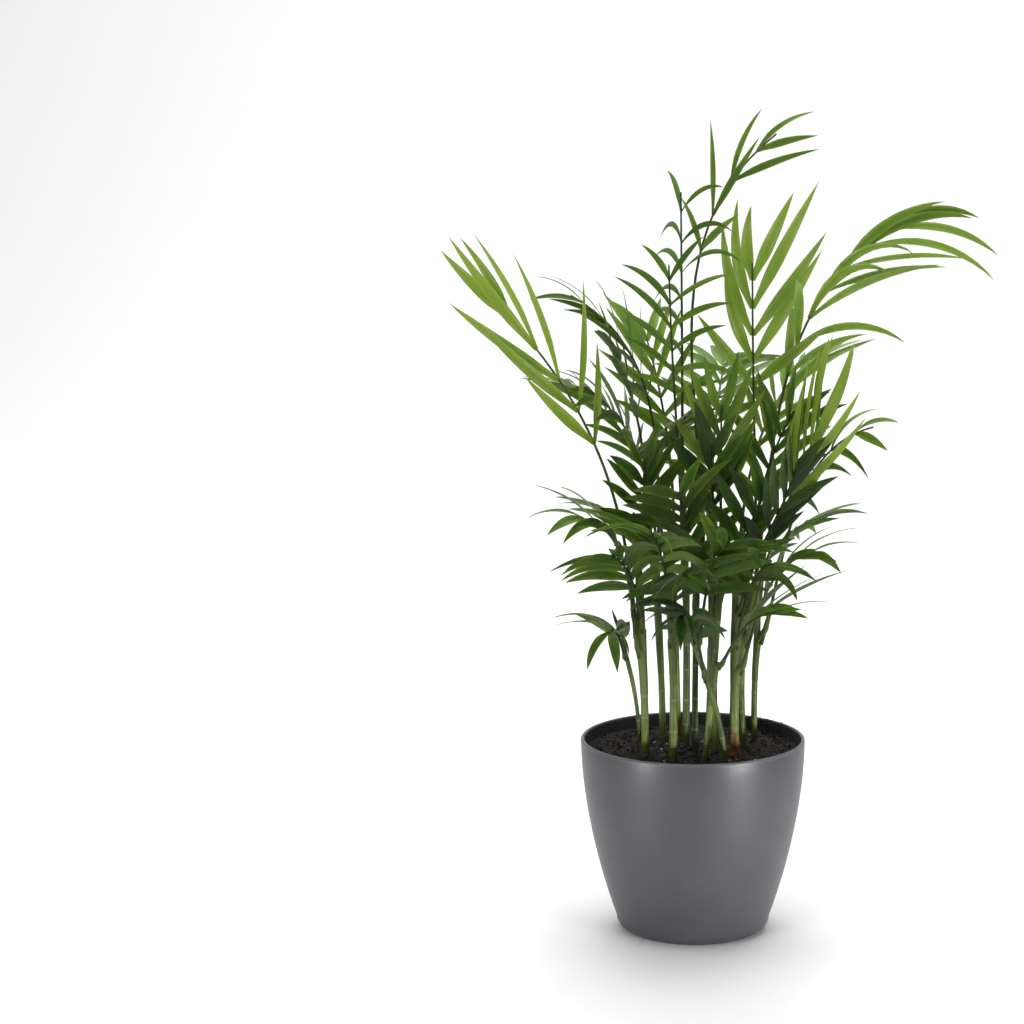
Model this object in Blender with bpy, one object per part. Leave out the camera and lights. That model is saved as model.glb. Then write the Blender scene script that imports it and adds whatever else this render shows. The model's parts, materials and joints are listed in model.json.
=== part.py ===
"""A parlour palm in a round plastic cover pot.

The plant is a clump of thin canes standing in soil. Each frond is one grown
piece: a stalk that leaves the side of its cane, and narrow leaflets in pairs
along the stalk's outer part. Leaflets that would meet a neighbour are turned,
bent or shortened a little, as they are on a crowded plant.
"""

import math
import random
from collections import namedtuple

import bmesh
import bpy
from mathutils import Matrix, Vector
from mathutils.bvhtree import BVHTree

# Pot, in metres.
POT_HEIGHT = 0.157
POT_RIM_RADIUS = 0.090
POT_TAPER = 0.0319  # how far the side would draw in from rim to floor
POT_TAPER_POWER = 1.83
POT_FOOT_HEIGHT = 0.011  # where the round foot meets the side
POT_FOOT_ROUND = 0.0121  # how far the round foot reaches in from the side to the flat underside
POT_WALL = 0.003
POT_FLOOR = 0.004
POT_STEPS = 48
POT_OUTER_FACETS = 6
POT_INNER_FACETS = 4
POT_FOOT_FACETS = 4
POT_LIP_FACETS = 2  # in each quarter of the round lip

# Soil.
SOIL_BELOW_RIM = 0.010
SOIL_LEVEL = POT_HEIGHT - SOIL_BELOW_RIM
SOIL_MOUND = 0.003
SOIL_LUMPS = 0.0011
SOIL_RINGS = 6

# Gaps and depths.
GAP = 0.0003
CANE_DEPTH = 0.014  # how deep a cane stands in the soil
SOCKET_TOP = 0.02  # how far above the soil's edge a cane's socket is cut at least
CLEARANCE = 0.0004  # between any two leaflets
LEAF_CLEAR_OF_STALK = 0.0042  # nearer than this, a leaflet isn't tested against its own frond
LEAF_ROOT = 0.001  # where a leaflet is far enough out to be tested against other pieces

# Stalks and leaflets.
CANE_SIDES = 7
CANE_RINGS = 4
STALK_RADIUS = 0.0014
STALK_TIP_RADIUS = 0.0007
STALK_RINGS = 5
STALK_HANDLE = 0.38  # how long its curve keeps the direction of each end, as a share of its reach
LEAF_BASE = 0.0035  # how much of the stalk a leaflet grows from
LEAF_THICKNESS = 0.0008
LEAF_SECTIONS = (0.36, 0.70)  # where a leaflet has its sections, as shares of its length
LEAF_WIDEST = 0.34
LEAF_NECK = 0.42  # its width at the root, as a share of its widest
LEAF_POINT = 1.9  # the higher, the fuller its sides stay towards the point
LEAF_TILT = -20  # degrees that each leaflet leans, as slats do, to clear the next one
LEAF_FOLD = 0.22  # how far the edges stand up, as a share of the half width
LEAF_LIFT = 0.14  # how far a leaflet sets off towards the stalk's upper side
LEAF_HANG_OUT = 0.25  # how far its bend leads away from the stalk
LEAF_SICKLE = 0.05  # how far it curves back towards the stalk's tip, as a share of its length

# Leaflets stand out widest at the foot of the leafy part and least at the tip,
# and are longest halfway.
SPREAD_LOW = 1.2
SPREAD_HIGH = 0.6
LENGTH_AT_ENDS = 0.70

# How far each leaflet differs from its neighbours at most, up or down.
ANGLE_WOBBLE = 9
DROOP_WOBBLE = 0.4
LENGTH_WOBBLE = 0.13
TILT_WOBBLE = 16

Cane = namedtuple("Cane", "foot head height radius bow")
Frond = namedtuple(
    "Frond", "cane root tip rise end bare pairs length width spread droop roll"
)
Leaf = namedtuple("Leaf", "root first down up side length half droop twist")

# Each cane: where it leaves the soil, where its top is, how high that is above
# the soil's edge, its radius at the foot and how far its middle bows out.
CANES = (
    Cane((-0.037, -0.034), (-0.046, -0.032), 0.198, 0.0034, (0.002, -0.002)),
    Cane((-0.024, 0.018), (-0.036, 0.016), 0.188, 0.0029, (0.003, 0.002)),
    Cane((-0.016, -0.046), (-0.018, -0.040), 0.143, 0.0036, (0.002, -0.002)),
    Cane((-0.006, -0.007), (-0.010, -0.004), 0.253, 0.0032, (0.003, -0.002)),
    Cane((0.002, -0.026), (0.008, -0.018), 0.233, 0.0028, (-0.002, -0.003)),
    Cane((0.008, -0.040), (0.023, -0.034), 0.173, 0.0027, (0.002, -0.003)),
    Cane((0.019, -0.022), (0.019, -0.012), 0.143, 0.0031, (-0.002, 0.002)),
    Cane((0.027, -0.050), (-0.012, -0.056), 0.125, 0.0023, (0.008, -0.002)),
    Cane((0.034, -0.034), (0.034, -0.032), 0.153, 0.0036, (-0.001, 0.003)),
    Cane((0.041, 0.000), (0.046, 0.004), 0.183, 0.0029, (-0.004, 0.002)),
    Cane((0.050, 0.016), (0.058, 0.014), 0.163, 0.0027, (-0.003, 0.002)),
    Cane((-0.042, -0.004), (-0.064, -0.008), 0.115, 0.0019, (0.006, 0.001)),
    Cane((0.012, 0.026), (0.012, 0.040), 0.208, 0.0029, (0.003, -0.003)),
    Cane((-0.012, 0.040), (-0.020, 0.054), 0.183, 0.0028, (0.002, -0.002)),
    Cane((0.032, 0.038), (0.042, 0.050), 0.173, 0.0027, (-0.002, -0.003)),
)

# Each frond: its cane, how high its stalk leaves the cane, the end of its stalk,
# both above the soil's edge, how steeply the stalk sets off and ends in degrees,
# the bare share of the stalk, its pairs of leaflets, their length and width,
# their angle to the stalk, how far they bend down, and how far the frond rolls
# to its left.
FRONDS = {
    "frond_left_tall": Frond(
        0, 0.098, (-0.152, -0.060, 0.366), 88, 46, 0.50, 5, 0.118, 0.0090, 22, 3, 68
    ),
    "frond_right_arching": Frond(
        9, 0.103, (0.170, -0.020, 0.424), 80, 24, 0.50, 7, 0.112, 0.0080, 14, 66, -124
    ),
    "frond_centre_tall": Frond(
        3, 0.183, (-0.009, -0.016, 0.446), 90, 88, 0.40, 7, 0.092, 0.0048, 52, 84, 50
    ),
    "frond_top": Frond(
        4, 0.163, (0.064, -0.030, 0.490), 90, 38, 0.64, 4, 0.070, 0.0060, 13, 26, -82
    ),
    "frond_right_upright": Frond(
        10, 0.098, (0.046, -0.030, 0.392), 88, 88, 0.66, 5, 0.112, 0.0096, 30, 10, -10
    ),
    "frond_left_behind": Frond(
        1, 0.108, (-0.096, 0.010, 0.365), 88, 30, 0.58, 6, 0.076, 0.0050, 34, 40, 24
    ),
    "frond_centre_thin": Frond(
        3, 0.143, (-0.018, -0.050, 0.392), 86, 86, 0.58, 6, 0.062, 0.0056, 44, 46, 16
    ),
    "frond_right_fan": Frond(
        9, 0.083, (0.100, -0.046, 0.276), 80, 66, 0.56, 6, 0.112, 0.0074, 16, 0, -100
    ),
    "frond_right_low": Frond(
        10, 0.083, (0.138, -0.052, 0.267), 72, 16, 0.50, 4, 0.060, 0.0070, 30, 56, -60
    ),
    "frond_left_low": Frond(
        0, 0.083, (-0.092, -0.060, 0.198), 82, 4, 0.36, 6, 0.068, 0.0080, 38, 58, 24
    ),
    "frond_left_hanging": Frond(
        11, 0.075, (-0.066, -0.040, 0.101), 66, -40, 0.36, 4, 0.064, 0.0092, 30, 60, 16
    ),
    "frond_right_lowest": Frond(
        5, 0.075, (0.064, -0.084, 0.128), 58, 8, 0.40, 5, 0.082, 0.0078, 24, 30, -24
    ),
    "frond_right_dark": Frond(
        8, 0.115, (0.080, -0.074, 0.240), 80, 68, 0.42, 5, 0.058, 0.0098, 30, 16, 8
    ),
    "frond_right_short": Frond(
        8, 0.068, (0.098, -0.066, 0.172), 74, 6, 0.44, 5, 0.060, 0.0078, 32, 36, -26
    ),
    "frond_centre_fan": Frond(
        5, 0.143, (0.022, -0.062, 0.286), 88, 84, 0.46, 5, 0.068, 0.0088, 28, 4, -6
    ),
    "frond_left_middle": Frond(
        1, 0.088, (-0.084, -0.022, 0.294), 88, 30, 0.52, 6, 0.066, 0.0086, 38, 46, 38
    ),
    "frond_centre_left": Frond(
        1, 0.172, (-0.004, -0.056, 0.276), 86, 24, 0.42, 5, 0.064, 0.0084, 40, 40, -24
    ),
    "frond_front_bright": Frond(
        2, 0.115, (-0.032, -0.100, 0.192), 80, 24, 0.38, 5, 0.070, 0.0090, 46, 64, 18
    ),
    "frond_front_dark": Frond(
        2, 0.093, (-0.004, -0.108, 0.160), 78, -4, 0.38, 6, 0.062, 0.0094, 44, 54, -22
    ),
    "frond_front_centre": Frond(
        7, 0.093, (0.028, -0.104, 0.184), 78, 22, 0.38, 5, 0.066, 0.0094, 44, 42, 26
    ),
    "frond_front_hanging": Frond(
        7, 0.068, (-0.010, -0.100, 0.126), 70, -24, 0.38, 5, 0.056, 0.0094, 34, 80, 10
    ),
    "frond_middle_dark": Frond(
        6, 0.088, (0.056, -0.074, 0.222), 84, 58, 0.38, 6, 0.064, 0.0098, 38, 24, 26
    ),
    "frond_left_broad": Frond(
        0, 0.129, (-0.036, -0.080, 0.246), 88, 66, 0.38, 6, 0.060, 0.0094, 38, 24, -34
    ),
    "frond_front_left": Frond(
        0, 0.103, (-0.062, -0.086, 0.172), 80, 14, 0.38, 6, 0.064, 0.0088, 40, 52, -26
    ),
    "frond_front_right": Frond(
        8, 0.089, (0.060, -0.100, 0.168), 78, 12, 0.38, 6, 0.066, 0.0088, 40, 46, 22
    ),
    "frond_centre_dark": Frond(
        6, 0.123, (0.014, -0.074, 0.256), 86, 72, 0.38, 6, 0.066, 0.0098, 36, 20, 30
    ),
    "frond_centre_low": Frond(
        4, 0.115, (-0.010, -0.086, 0.222), 84, 48, 0.38, 6, 0.066, 0.0096, 42, 34, -30
    ),
    "frond_right_middle": Frond(
        9, 0.143, (0.078, -0.036, 0.278), 84, 54, 0.38, 6, 0.068, 0.0084, 34, 24, 34
    ),
    "frond_left_upper": Frond(
        1, 0.153, (-0.068, -0.006, 0.334), 88, 58, 0.56, 5, 0.064, 0.0090, 34, 24, 44
    ),
    "frond_back_tall": Frond(
        13, 0.153, (-0.040, 0.104, 0.330), 90, 50, 0.46, 6, 0.076, 0.0080, 34, 24, 0
    ),
    "frond_back_right": Frond(
        14, 0.143, (0.096, 0.120, 0.300), 86, 22, 0.46, 7, 0.080, 0.0078, 32, 26, 10
    ),
    "frond_back_left": Frond(
        13, 0.133, (-0.100, 0.112, 0.280), 84, 18, 0.44, 7, 0.076, 0.0076, 34, 34, -10
    ),
    "frond_back_arching": Frond(
        12, 0.173, (0.030, 0.160, 0.300), 84, 4, 0.44, 7, 0.080, 0.0078, 34, 34, 0
    ),
    "frond_back_centre": Frond(
        12, 0.153, (0.004, 0.084, 0.270), 88, 50, 0.42, 6, 0.070, 0.0082, 38, 30, 0
    ),
    "frond_back_low_left": Frond(
        13, 0.093, (-0.074, 0.108, 0.175), 78, 10, 0.42, 6, 0.064, 0.0082, 40, 50, -24
    ),
    "frond_back_low_right": Frond(
        14, 0.089, (0.104, 0.092, 0.172), 78, 12, 0.42, 6, 0.064, 0.0082, 40, 48, 24
    ),
    "frond_back_hanging": Frond(
        12, 0.073, (0.024, 0.124, 0.132), 72, -8, 0.42, 5, 0.058, 0.0086, 40, 70, 12
    ),
}

# What a leaflet tries in turn when a neighbour is in its way: degrees added to
# its angle, degrees added to its droop, and a share of its length.
LEAF_TRIES = (
    (0, 0, 1.0),
    (7, 0, 1.0),
    (-7, 0, 1.0),
    (0, 14, 1.0),
    (0, -14, 1.0),
    (10, 12, 0.95),
    (-8, -12, 0.95),
    (14, -14, 0.9),
    (-12, 16, 0.9),
    (0, 30, 0.85),
    (0, -30, 0.85),
    (0, 0, 0.75),
    (16, 26, 0.75),
    (-14, -26, 0.75),
    (22, 0, 0.65),
    (0, 44, 0.6),
    (0, 0, 0.5),
    (20, -36, 0.5),
    (0, 0, 0.36),
)

# How far round its cane a stalk's root moves, in degrees, to miss a neighbour.
ROOT_TRIES = (0, 30, -30, 60, -60, 95, -95, 130, -130, 180)
ROOT_DROPS = (0, 0.010, -0.010, 0.020, -0.020, 0.032, -0.032)


def clear_scene():
    for thing in list(bpy.data.objects):
        bpy.data.objects.remove(thing)


def material(name, colour, roughness):
    made = bpy.data.materials.new(name)
    made.use_nodes = True
    shader = made.node_tree.nodes["Principled BSDF"]
    shader.inputs["Base Color"].default_value = (*colour, 1)
    shader.inputs["Roughness"].default_value = roughness
    shader.inputs["Metallic"].default_value = 0
    return made


def add_object(name, mesh, finish):
    mesh.shade_smooth()
    mesh.set_sharp_from_angle(angle=math.radians(40))
    mesh.materials.append(finish)
    made = bpy.data.objects.new(name, mesh)
    bpy.context.scene.collection.objects.link(made)
    return made


def mesh_of(name, points, faces):
    mesh = bpy.data.meshes.new(name)
    mesh.from_pydata([tuple(p) for p in points], [], faces)
    mesh.update()
    return mesh


def side_radius(z):
    """The pot's outer radius at a height on its side."""
    return POT_RIM_RADIUS - POT_TAPER * (1 - z / POT_HEIGHT) ** POT_TAPER_POWER


def inner_radius(z):
    return side_radius(z) - POT_WALL


def turned(name, outline, steps):
    """A closed body of revolution about Z from an outline that starts and ends on the axis."""
    bm = bmesh.new()
    verts = [bm.verts.new((r, 0, z)) for r, z in outline]
    edges = [bm.edges.new(pair) for pair in zip(verts, verts[1:])]
    bmesh.ops.spin(
        bm, geom=verts + edges, axis=(0, 0, 1), cent=(0, 0, 0), steps=steps, angle=2 * math.pi
    )
    bmesh.ops.remove_doubles(bm, verts=bm.verts, dist=0.00001)
    bmesh.ops.recalc_face_normals(bm, faces=bm.faces)
    mesh = bpy.data.meshes.new(name)
    bm.to_mesh(mesh)
    bm.free()
    return mesh


def quarter(centre, size, start, steps):
    """Points on a quarter of an ellipse, turning anticlockwise from start degrees."""
    angles = [math.radians(start + 90 * i / steps) for i in range(steps + 1)]
    return [(centre[0] + size[0] * math.cos(a), centre[1] + size[1] * math.sin(a)) for a in angles]


def inner_outline():
    """The pot's inside from the first facet below the lip down to the edge of its floor."""
    top = POT_HEIGHT - POT_WALL
    low = POT_FOOT_HEIGHT
    heights = [top + (low - top) * i / POT_INNER_FACETS for i in range(POT_INNER_FACETS + 1)]
    wall = [(inner_radius(z), z) for z in heights]
    return wall + [(wall[-1][0] - POT_FOOT_HEIGHT + POT_FLOOR, POT_FLOOR)]


def pot_outline():
    flat = side_radius(POT_FOOT_HEIGHT) - POT_FOOT_ROUND
    foot = quarter((flat, POT_FOOT_HEIGHT), (POT_FOOT_ROUND, POT_FOOT_HEIGHT), -90, POT_FOOT_FACETS)
    lip = POT_WALL / 2
    lip_centre = (POT_RIM_RADIUS - lip, POT_HEIGHT - lip)
    rise = lip_centre[1] - POT_FOOT_HEIGHT
    heights = [POT_FOOT_HEIGHT + rise * i / POT_OUTER_FACETS for i in range(1, POT_OUTER_FACETS)]
    outer = [(side_radius(z), z) for z in heights]
    rim = quarter(lip_centre, (lip, lip), 0, POT_LIP_FACETS)
    rim += quarter(lip_centre, (lip, lip), 90, POT_LIP_FACETS)[1:]
    return [(0, 0)] + foot + outer + rim + inner_outline() + [(0, POT_FLOOR)]


def make_pot(finish):
    return add_object("pot", turned("pot", pot_outline(), POT_STEPS), finish)


def soil_height(x, y):
    """The top of the soil: a low mound with soft lumps."""
    r = math.hypot(x, y) / inner_radius(SOIL_LEVEL)
    broad = math.sin(95 * x + 1.3) * math.cos(83 * y + 0.4)
    small = math.sin(171 * x - 139 * y)
    lumps = SOIL_LUMPS * (broad + 0.6 * small) * (1 - r**4)
    return SOIL_LEVEL + SOIL_MOUND * (1 - r * r) + lumps


def level_ring(bm, radius, height):
    """A ring of points about Z, at a height that may depend on X and Y."""
    ring = []
    for i in range(POT_STEPS):
        a = 2 * math.pi * i / POT_STEPS
        x, y = radius * math.cos(a), radius * math.sin(a)
        ring.append(bm.verts.new((x, y, height(x, y))))
    return ring


def soil_sides():
    """Radius and height of the soil's side, which follows the pot's inside with a gap."""
    wall = inner_outline()
    above = [point for point in wall if point[1] > SOIL_LEVEL][-1]
    below = [point for point in wall if point[1] <= SOIL_LEVEL]
    share = (above[1] - SOIL_LEVEL) / (above[1] - below[0][1])
    top = above[0] + (below[0][0] - above[0]) * share
    sides = [(top, SOIL_LEVEL)] + below[:-1] + [(below[-1][0], below[-1][1] + GAP)]
    return [(r - GAP, z) for r, z in sides]


def soil_mesh():
    bm = bmesh.new()
    sides = soil_sides()
    top_radius = sides[0][0]
    rings = [
        level_ring(bm, top_radius * k / SOIL_RINGS, soil_height) for k in range(1, SOIL_RINGS + 1)
    ]
    rings += [level_ring(bm, r, lambda x, y, z=z: z) for r, z in sides[1:]]
    middle = bm.verts.new((0, 0, soil_height(0, 0)))
    for i in range(POT_STEPS):
        bm.faces.new((middle, rings[0][i], rings[0][(i + 1) % POT_STEPS]))
    for inner, outer in zip(rings, rings[1:]):
        for i in range(POT_STEPS):
            j = (i + 1) % POT_STEPS
            bm.faces.new((inner[i], outer[i], outer[j], inner[j]))
    bm.faces.new(list(reversed(rings[-1])))
    bmesh.ops.triangulate(bm, faces=bm.faces)
    bmesh.ops.recalc_face_normals(bm, faces=bm.faces)
    mesh = bpy.data.meshes.new("soil")
    bm.to_mesh(mesh)
    bm.free()
    return mesh


def cane_point(cane, share):
    """A point on a cane's middle line, from its buried foot at 0 to its top at 1."""
    x, y = cane.foot
    foot = Vector((x, y, soil_height(x, y) - CANE_DEPTH))
    head = Vector((*cane.head, SOIL_LEVEL + cane.height))
    return foot.lerp(head, share) + Vector((*cane.bow, 0)) * 4 * share * (1 - share)


def cane_share(cane, height):
    foot = soil_height(*cane.foot) - CANE_DEPTH
    return (height - foot) / (SOIL_LEVEL + cane.height - foot)


def cane_radius(cane, share):
    return cane.radius * (1 - 0.25 * share)


def tube(points, radii, sides):
    """Points and faces of a closed tube whose rings lie level."""
    verts, faces = [], []
    for centre, radius in zip(points, radii):
        for i in range(sides):
            a = 2 * math.pi * i / sides
            verts.append(centre + Vector((radius * math.cos(a), radius * math.sin(a), 0)))
    for k in range(len(points) - 1):
        for i in range(sides):
            j = (i + 1) % sides
            low, high = k * sides, (k + 1) * sides
            faces.append((low + i, low + j, high + j, high + i))
    faces.append(tuple(reversed(range(sides))))
    top = (len(points) - 1) * sides
    faces.append(tuple(range(top, top + sides)))
    return verts, faces


def cane_shape(cane):
    shares = [i / CANE_RINGS for i in range(CANE_RINGS + 1)]
    points = [cane_point(cane, share) for share in shares]
    radii = [cane_radius(cane, share) for share in shares]
    top = points[-1] + (points[-1] - points[-2]).normalized() * radii[-1]
    return tube(points + [top], radii + [radii[-1] * 0.5], CANE_SIDES)


def socket_shape(cane):
    """The hole that a cane stands in: its own outline with a gap all round."""
    end = cane_share(cane, SOIL_LEVEL + SOCKET_TOP)
    shares = [i / CANE_RINGS for i in range(CANE_RINGS + 1)]
    low = [share for share in shares if share <= end]
    low.append(shares[len(low)])
    points = [cane_point(cane, share) for share in low]
    points[0] = points[0] - (points[1] - points[0]).normalized() * GAP
    return tube(points, [cane_radius(cane, share) + GAP for share in low], CANE_SIDES)


def bezier(ends, u):
    a, b, c, d = ends
    v = 1 - u
    return a * v**3 + b * 3 * v * v * u + c * 3 * v * u * u + d * u**3


def bezier_slope(ends, u):
    a, b, c, d = ends
    v = 1 - u
    return ((b - a) * v * v + (c - b) * 2 * v * u + (d - c) * u * u).normalized()


def stalk_curve(frond, turn, drop):
    """A stalk's four control points, from its root beside the cane to its tip."""
    cane = CANES[frond.cane]
    share = cane_share(cane, SOIL_LEVEL + frond.root - drop)
    middle = cane_point(cane, share)
    tip = Vector(frond.tip) + Vector((0, 0, SOIL_LEVEL))
    flat = Vector((tip.x - middle.x, tip.y - middle.y, 0)).normalized()
    side = Matrix.Rotation(math.radians(turn), 3, "Z") @ flat
    stand_off = cane_radius(cane, share) + STALK_RADIUS * 1.5 + GAP * 2
    root = middle + side * stand_off
    reach = (tip - root).length * STALK_HANDLE
    rise, end = math.radians(frond.rise), math.radians(frond.end)
    start = flat * math.cos(rise) + Vector((0, 0, math.sin(rise)))
    finish = flat * math.cos(end) + Vector((0, 0, math.sin(end)))
    return flat, (root, root + start * reach, tip - finish * reach, tip)


def stalk_frame(frond, flat, ends, u):
    """Point, direction, upper side and right side of a stalk at u."""
    along = bezier_slope(ends, u)
    level = flat.cross(Vector((0, 0, 1)))
    level = (level - along * along.dot(level)).normalized()
    up = level.cross(along)
    roll = math.radians(frond.roll)
    up = up * math.cos(roll) - level * math.sin(roll)
    return bezier(ends, u), along, up, along.cross(up)


def stalk_stations(frond, ends):
    """Where the stalk has a ring: along its bare part, then two for each pair."""
    length = sum((bezier(ends, i / 20) - bezier(ends, (i + 1) / 20)).length for i in range(20))
    half = LEAF_BASE / 2 / length
    bare = [frond.bare * i / STALK_RINGS for i in range(STALK_RINGS)]
    pairs = []
    for i in range(frond.pairs):
        u = frond.bare + (1 - frond.bare) * (i + 0.4) / frond.pairs
        pairs.append((u - half, u + half))
    return bare, pairs


def stalk_ring(frond, flat, ends, u, extra=0):
    middle, along, up, right = stalk_frame(frond, flat, ends, u)
    size = STALK_RADIUS + (STALK_TIP_RADIUS - STALK_RADIUS) * u + extra
    corners = ((1, 1), (1, -1), (-1, -1), (-1, 1))
    return [middle + (up * a + right * b) * size for a, b in corners]


def stalk_shape(frond, flat, ends, extra=0):
    """Points, faces and the open side faces of a stalk where its leaflets grow."""
    bare, pairs = stalk_stations(frond, ends)
    stations = bare + [u for pair in pairs for u in pair] + [1.0]
    verts = [p for u in stations for p in stalk_ring(frond, flat, ends, u, extra)]
    faces, slots = [], []
    for k in range(len(stations) - 1):
        low, high = 4 * k, 4 * k + 4
        pair = k - len(bare)
        leafy = 0 <= pair < 2 * frond.pairs and pair % 2 == 0
        faces.append((low, low + 1, high + 1, high))
        faces.append((low + 2, low + 3, high + 3, high + 2))
        right = (low, high, high + 3, low + 3)
        left = (low + 1, high + 1, high + 2, low + 2)
        if leafy:
            slots.append((right, left))
        else:
            faces.extend((right, left))
    faces.append((0, 1, 2, 3))
    top = 4 * len(stations) - 4
    faces.append((top, top + 1, top + 2, top + 3))
    return verts, faces, slots


def leaf_of(frond, frame, side, share, wobble, change):
    """One leaflet at a share of the way along its frond's leafy part."""
    root, along, up, right = frame
    turn, sag, size = change
    spread = frond.spread * (SPREAD_LOW + (SPREAD_HIGH - SPREAD_LOW) * share)
    angle = math.radians(spread + ANGLE_WOBBLE * wobble[0] + turn)
    droop = math.radians(frond.droop * (1 + DROOP_WOBBLE * wobble[1]) + sag)
    fullness = LENGTH_AT_ENDS + (1 - LENGTH_AT_ENDS) * 4 * share * (1 - share)
    length = frond.length * fullness * (1 + LENGTH_WOBBLE * wobble[2]) * size
    outwards = right * side
    first = along * math.cos(angle) + outwards * math.sin(angle) + up * LEAF_LIFT
    first.normalize()
    down = Vector((0, 0, -1)) + outwards * LEAF_HANG_OUT
    down = (down - first * first.dot(down)).normalized()
    twist = math.radians(LEAF_TILT + TILT_WOBBLE * wobble[3])
    return Leaf(root, first, down, up, side, length, frond.width / 2, droop, twist)


def leaf_at(leaf, share):
    """A leaflet's middle, forward edge and upper side at a share of its length."""
    bend = leaf.droop * share
    ahead = leaf.first * math.cos(bend) + leaf.down * math.sin(bend)
    upper = (leaf.up - ahead * leaf.up.dot(ahead)).normalized()
    front = ahead.cross(upper) * -leaf.side
    chord = leaf.first * math.cos(bend / 2) + leaf.down * math.sin(bend / 2)
    curved = math.sin(bend / 2) / (bend / 2) if bend else 1
    middle = leaf.root + chord * (leaf.length * share * curved)
    middle += front * (leaf.length * LEAF_SICKLE * share * (share - 1) * 2)
    cos, sin = math.cos(leaf.twist), math.sin(leaf.twist)
    return middle, front * cos - upper * sin, upper * cos + front * sin


def leaf_half(leaf, share):
    """Half of a leaflet's width at a share of its length: a neck, then a long fine point."""
    if share < LEAF_WIDEST:
        part = share / LEAF_WIDEST
        return leaf.half * (LEAF_NECK + (1 - LEAF_NECK) * part * part * (3 - 2 * part))
    part = (share - LEAF_WIDEST) / (1 - LEAF_WIDEST)
    return leaf.half * (1 - part**LEAF_POINT)


def leaf_sections(leaf, extra=0):
    """The four corners of each section between a leaflet's root and its tip."""
    sections = []
    for share in LEAF_SECTIONS:
        middle, front, upper = leaf_at(leaf, share)
        half = leaf_half(leaf, share) + extra
        thick = upper * (LEAF_THICKNESS / 2 + extra)
        edge, rise = front * half, upper * LEAF_FOLD * half
        sections.append([middle + thick, middle + edge + rise, middle - thick, middle - edge + rise])
    return sections


def leaf_faces(base, sections, tip):
    """Faces that join a four-cornered root to the sections and the tip, as index lists."""
    rings = [base] + sections
    faces = []
    for a, b in zip(rings, rings[1:]):
        for i in range(4):
            j = (i + 1) % 4
            faces.extend(((a[i], a[j], b[j]), (a[i], b[j], b[i])))
    last = rings[-1]
    for i in range(4):
        faces.append((last[i], last[(i + 1) % 4], tip))
    return faces


def leaf_probe(leaf, skip):
    """A slightly fat stand-in for a leaflet from skip metres out, to test against neighbours."""
    near, front, upper = leaf_at(leaf, LEAF_SECTIONS[0])
    nose = leaf.root + (near - leaf.root).normalized() * skip
    high = upper * (STALK_RADIUS + CLEARANCE)
    wide = front * (LEAF_BASE / 2 + CLEARANCE)
    points = [nose + high - wide, nose + high + wide, nose - high + wide, nose - high - wide]
    for section in leaf_sections(leaf, CLEARANCE):
        points.extend(section)
    last, tip = leaf_at(leaf, LEAF_SECTIONS[-1])[0], leaf_at(leaf, 1)[0]
    points.append(tip + (tip - last).normalized() * CLEARANCE)
    faces = leaf_faces([0, 1, 2, 3], [[4, 5, 6, 7], [8, 9, 10, 11]], 12)
    return points, faces + [(0, 1, 2, 3)]


class Neighbours:
    """What has grown so far, and whether a new piece would meet it."""

    def __init__(self):
        self.trees = []

    @staticmethod
    def box(points):
        return [(min(p[i] for p in points), max(p[i] for p in points)) for i in range(3)]

    def add(self, owner, points, faces):
        self.trees.append((owner, self.box(points), BVHTree.FromPolygons(points, faces)))

    def meets(self, points, faces, only=None, but=None):
        """Whether a piece meets what only grew, or what all but one grew."""
        box = self.box(points)
        tree = BVHTree.FromPolygons(points, faces)
        for owner, other_box, other in self.trees:
            if owner == but or only not in (None, owner):
                continue
            near = all(a[0] <= b[1] and b[0] <= a[1] for a, b in zip(box, other_box))
            if near and tree.overlap(other):
                return True
        return False


def grow_stalks(neighbours):
    """Each frond's heading and curve, with its root turned round the cane until it is clear."""
    grown = {}
    for name, frond in FRONDS.items():
        for turn, drop in [(turn, drop) for drop in ROOT_DROPS for turn in ROOT_TRIES]:
            flat, ends = stalk_curve(frond, turn, drop)
            points, faces, slots = stalk_shape(frond, flat, ends, CLEARANCE)
            faces = faces + [face for pair in slots for face in pair]
            if not neighbours.meets(points, faces):
                break
        neighbours.add(name, points, faces)
        grown[name] = (flat, ends)
    return grown


def grow_leaves(stalks, neighbours):
    """For each frond, its leaflets by pair and side; None where there is no room for one."""
    grown = {}
    for name, frond in FRONDS.items():
        flat, ends = stalks[name]
        draw = random.Random(name)
        leaves = []
        for i, (low, high) in enumerate(stalk_stations(frond, ends)[1]):
            frame = stalk_frame(frond, flat, ends, (low + high) / 2)
            share = i / (frond.pairs - 1)
            for side in (1, -1):
                wobble = [draw.uniform(-1, 1) for _ in range(4)]
                leaves.append(grow_leaf(name, frame, side, share, wobble, neighbours))
        grown[name] = leaves
    return grown


def grow_leaf(name, frame, side, share, wobble, neighbours):
    """The first way to lay a leaflet that meets nothing, or None."""
    for change in LEAF_TRIES:
        leaf = leaf_of(FRONDS[name], frame, side, share, wobble, change)
        way = (leaf_at(leaf, LEAF_SECTIONS[0])[0] - leaf.root).normalized()
        whole = leaf_probe(leaf, LEAF_ROOT)
        outer = leaf_probe(leaf, LEAF_CLEAR_OF_STALK / way.cross(frame[1]).length)
        if neighbours.meets(*whole, but=name) or neighbours.meets(*outer, only=name):
            continue
        neighbours.add(name, *whole)
        return leaf
    return None


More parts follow.
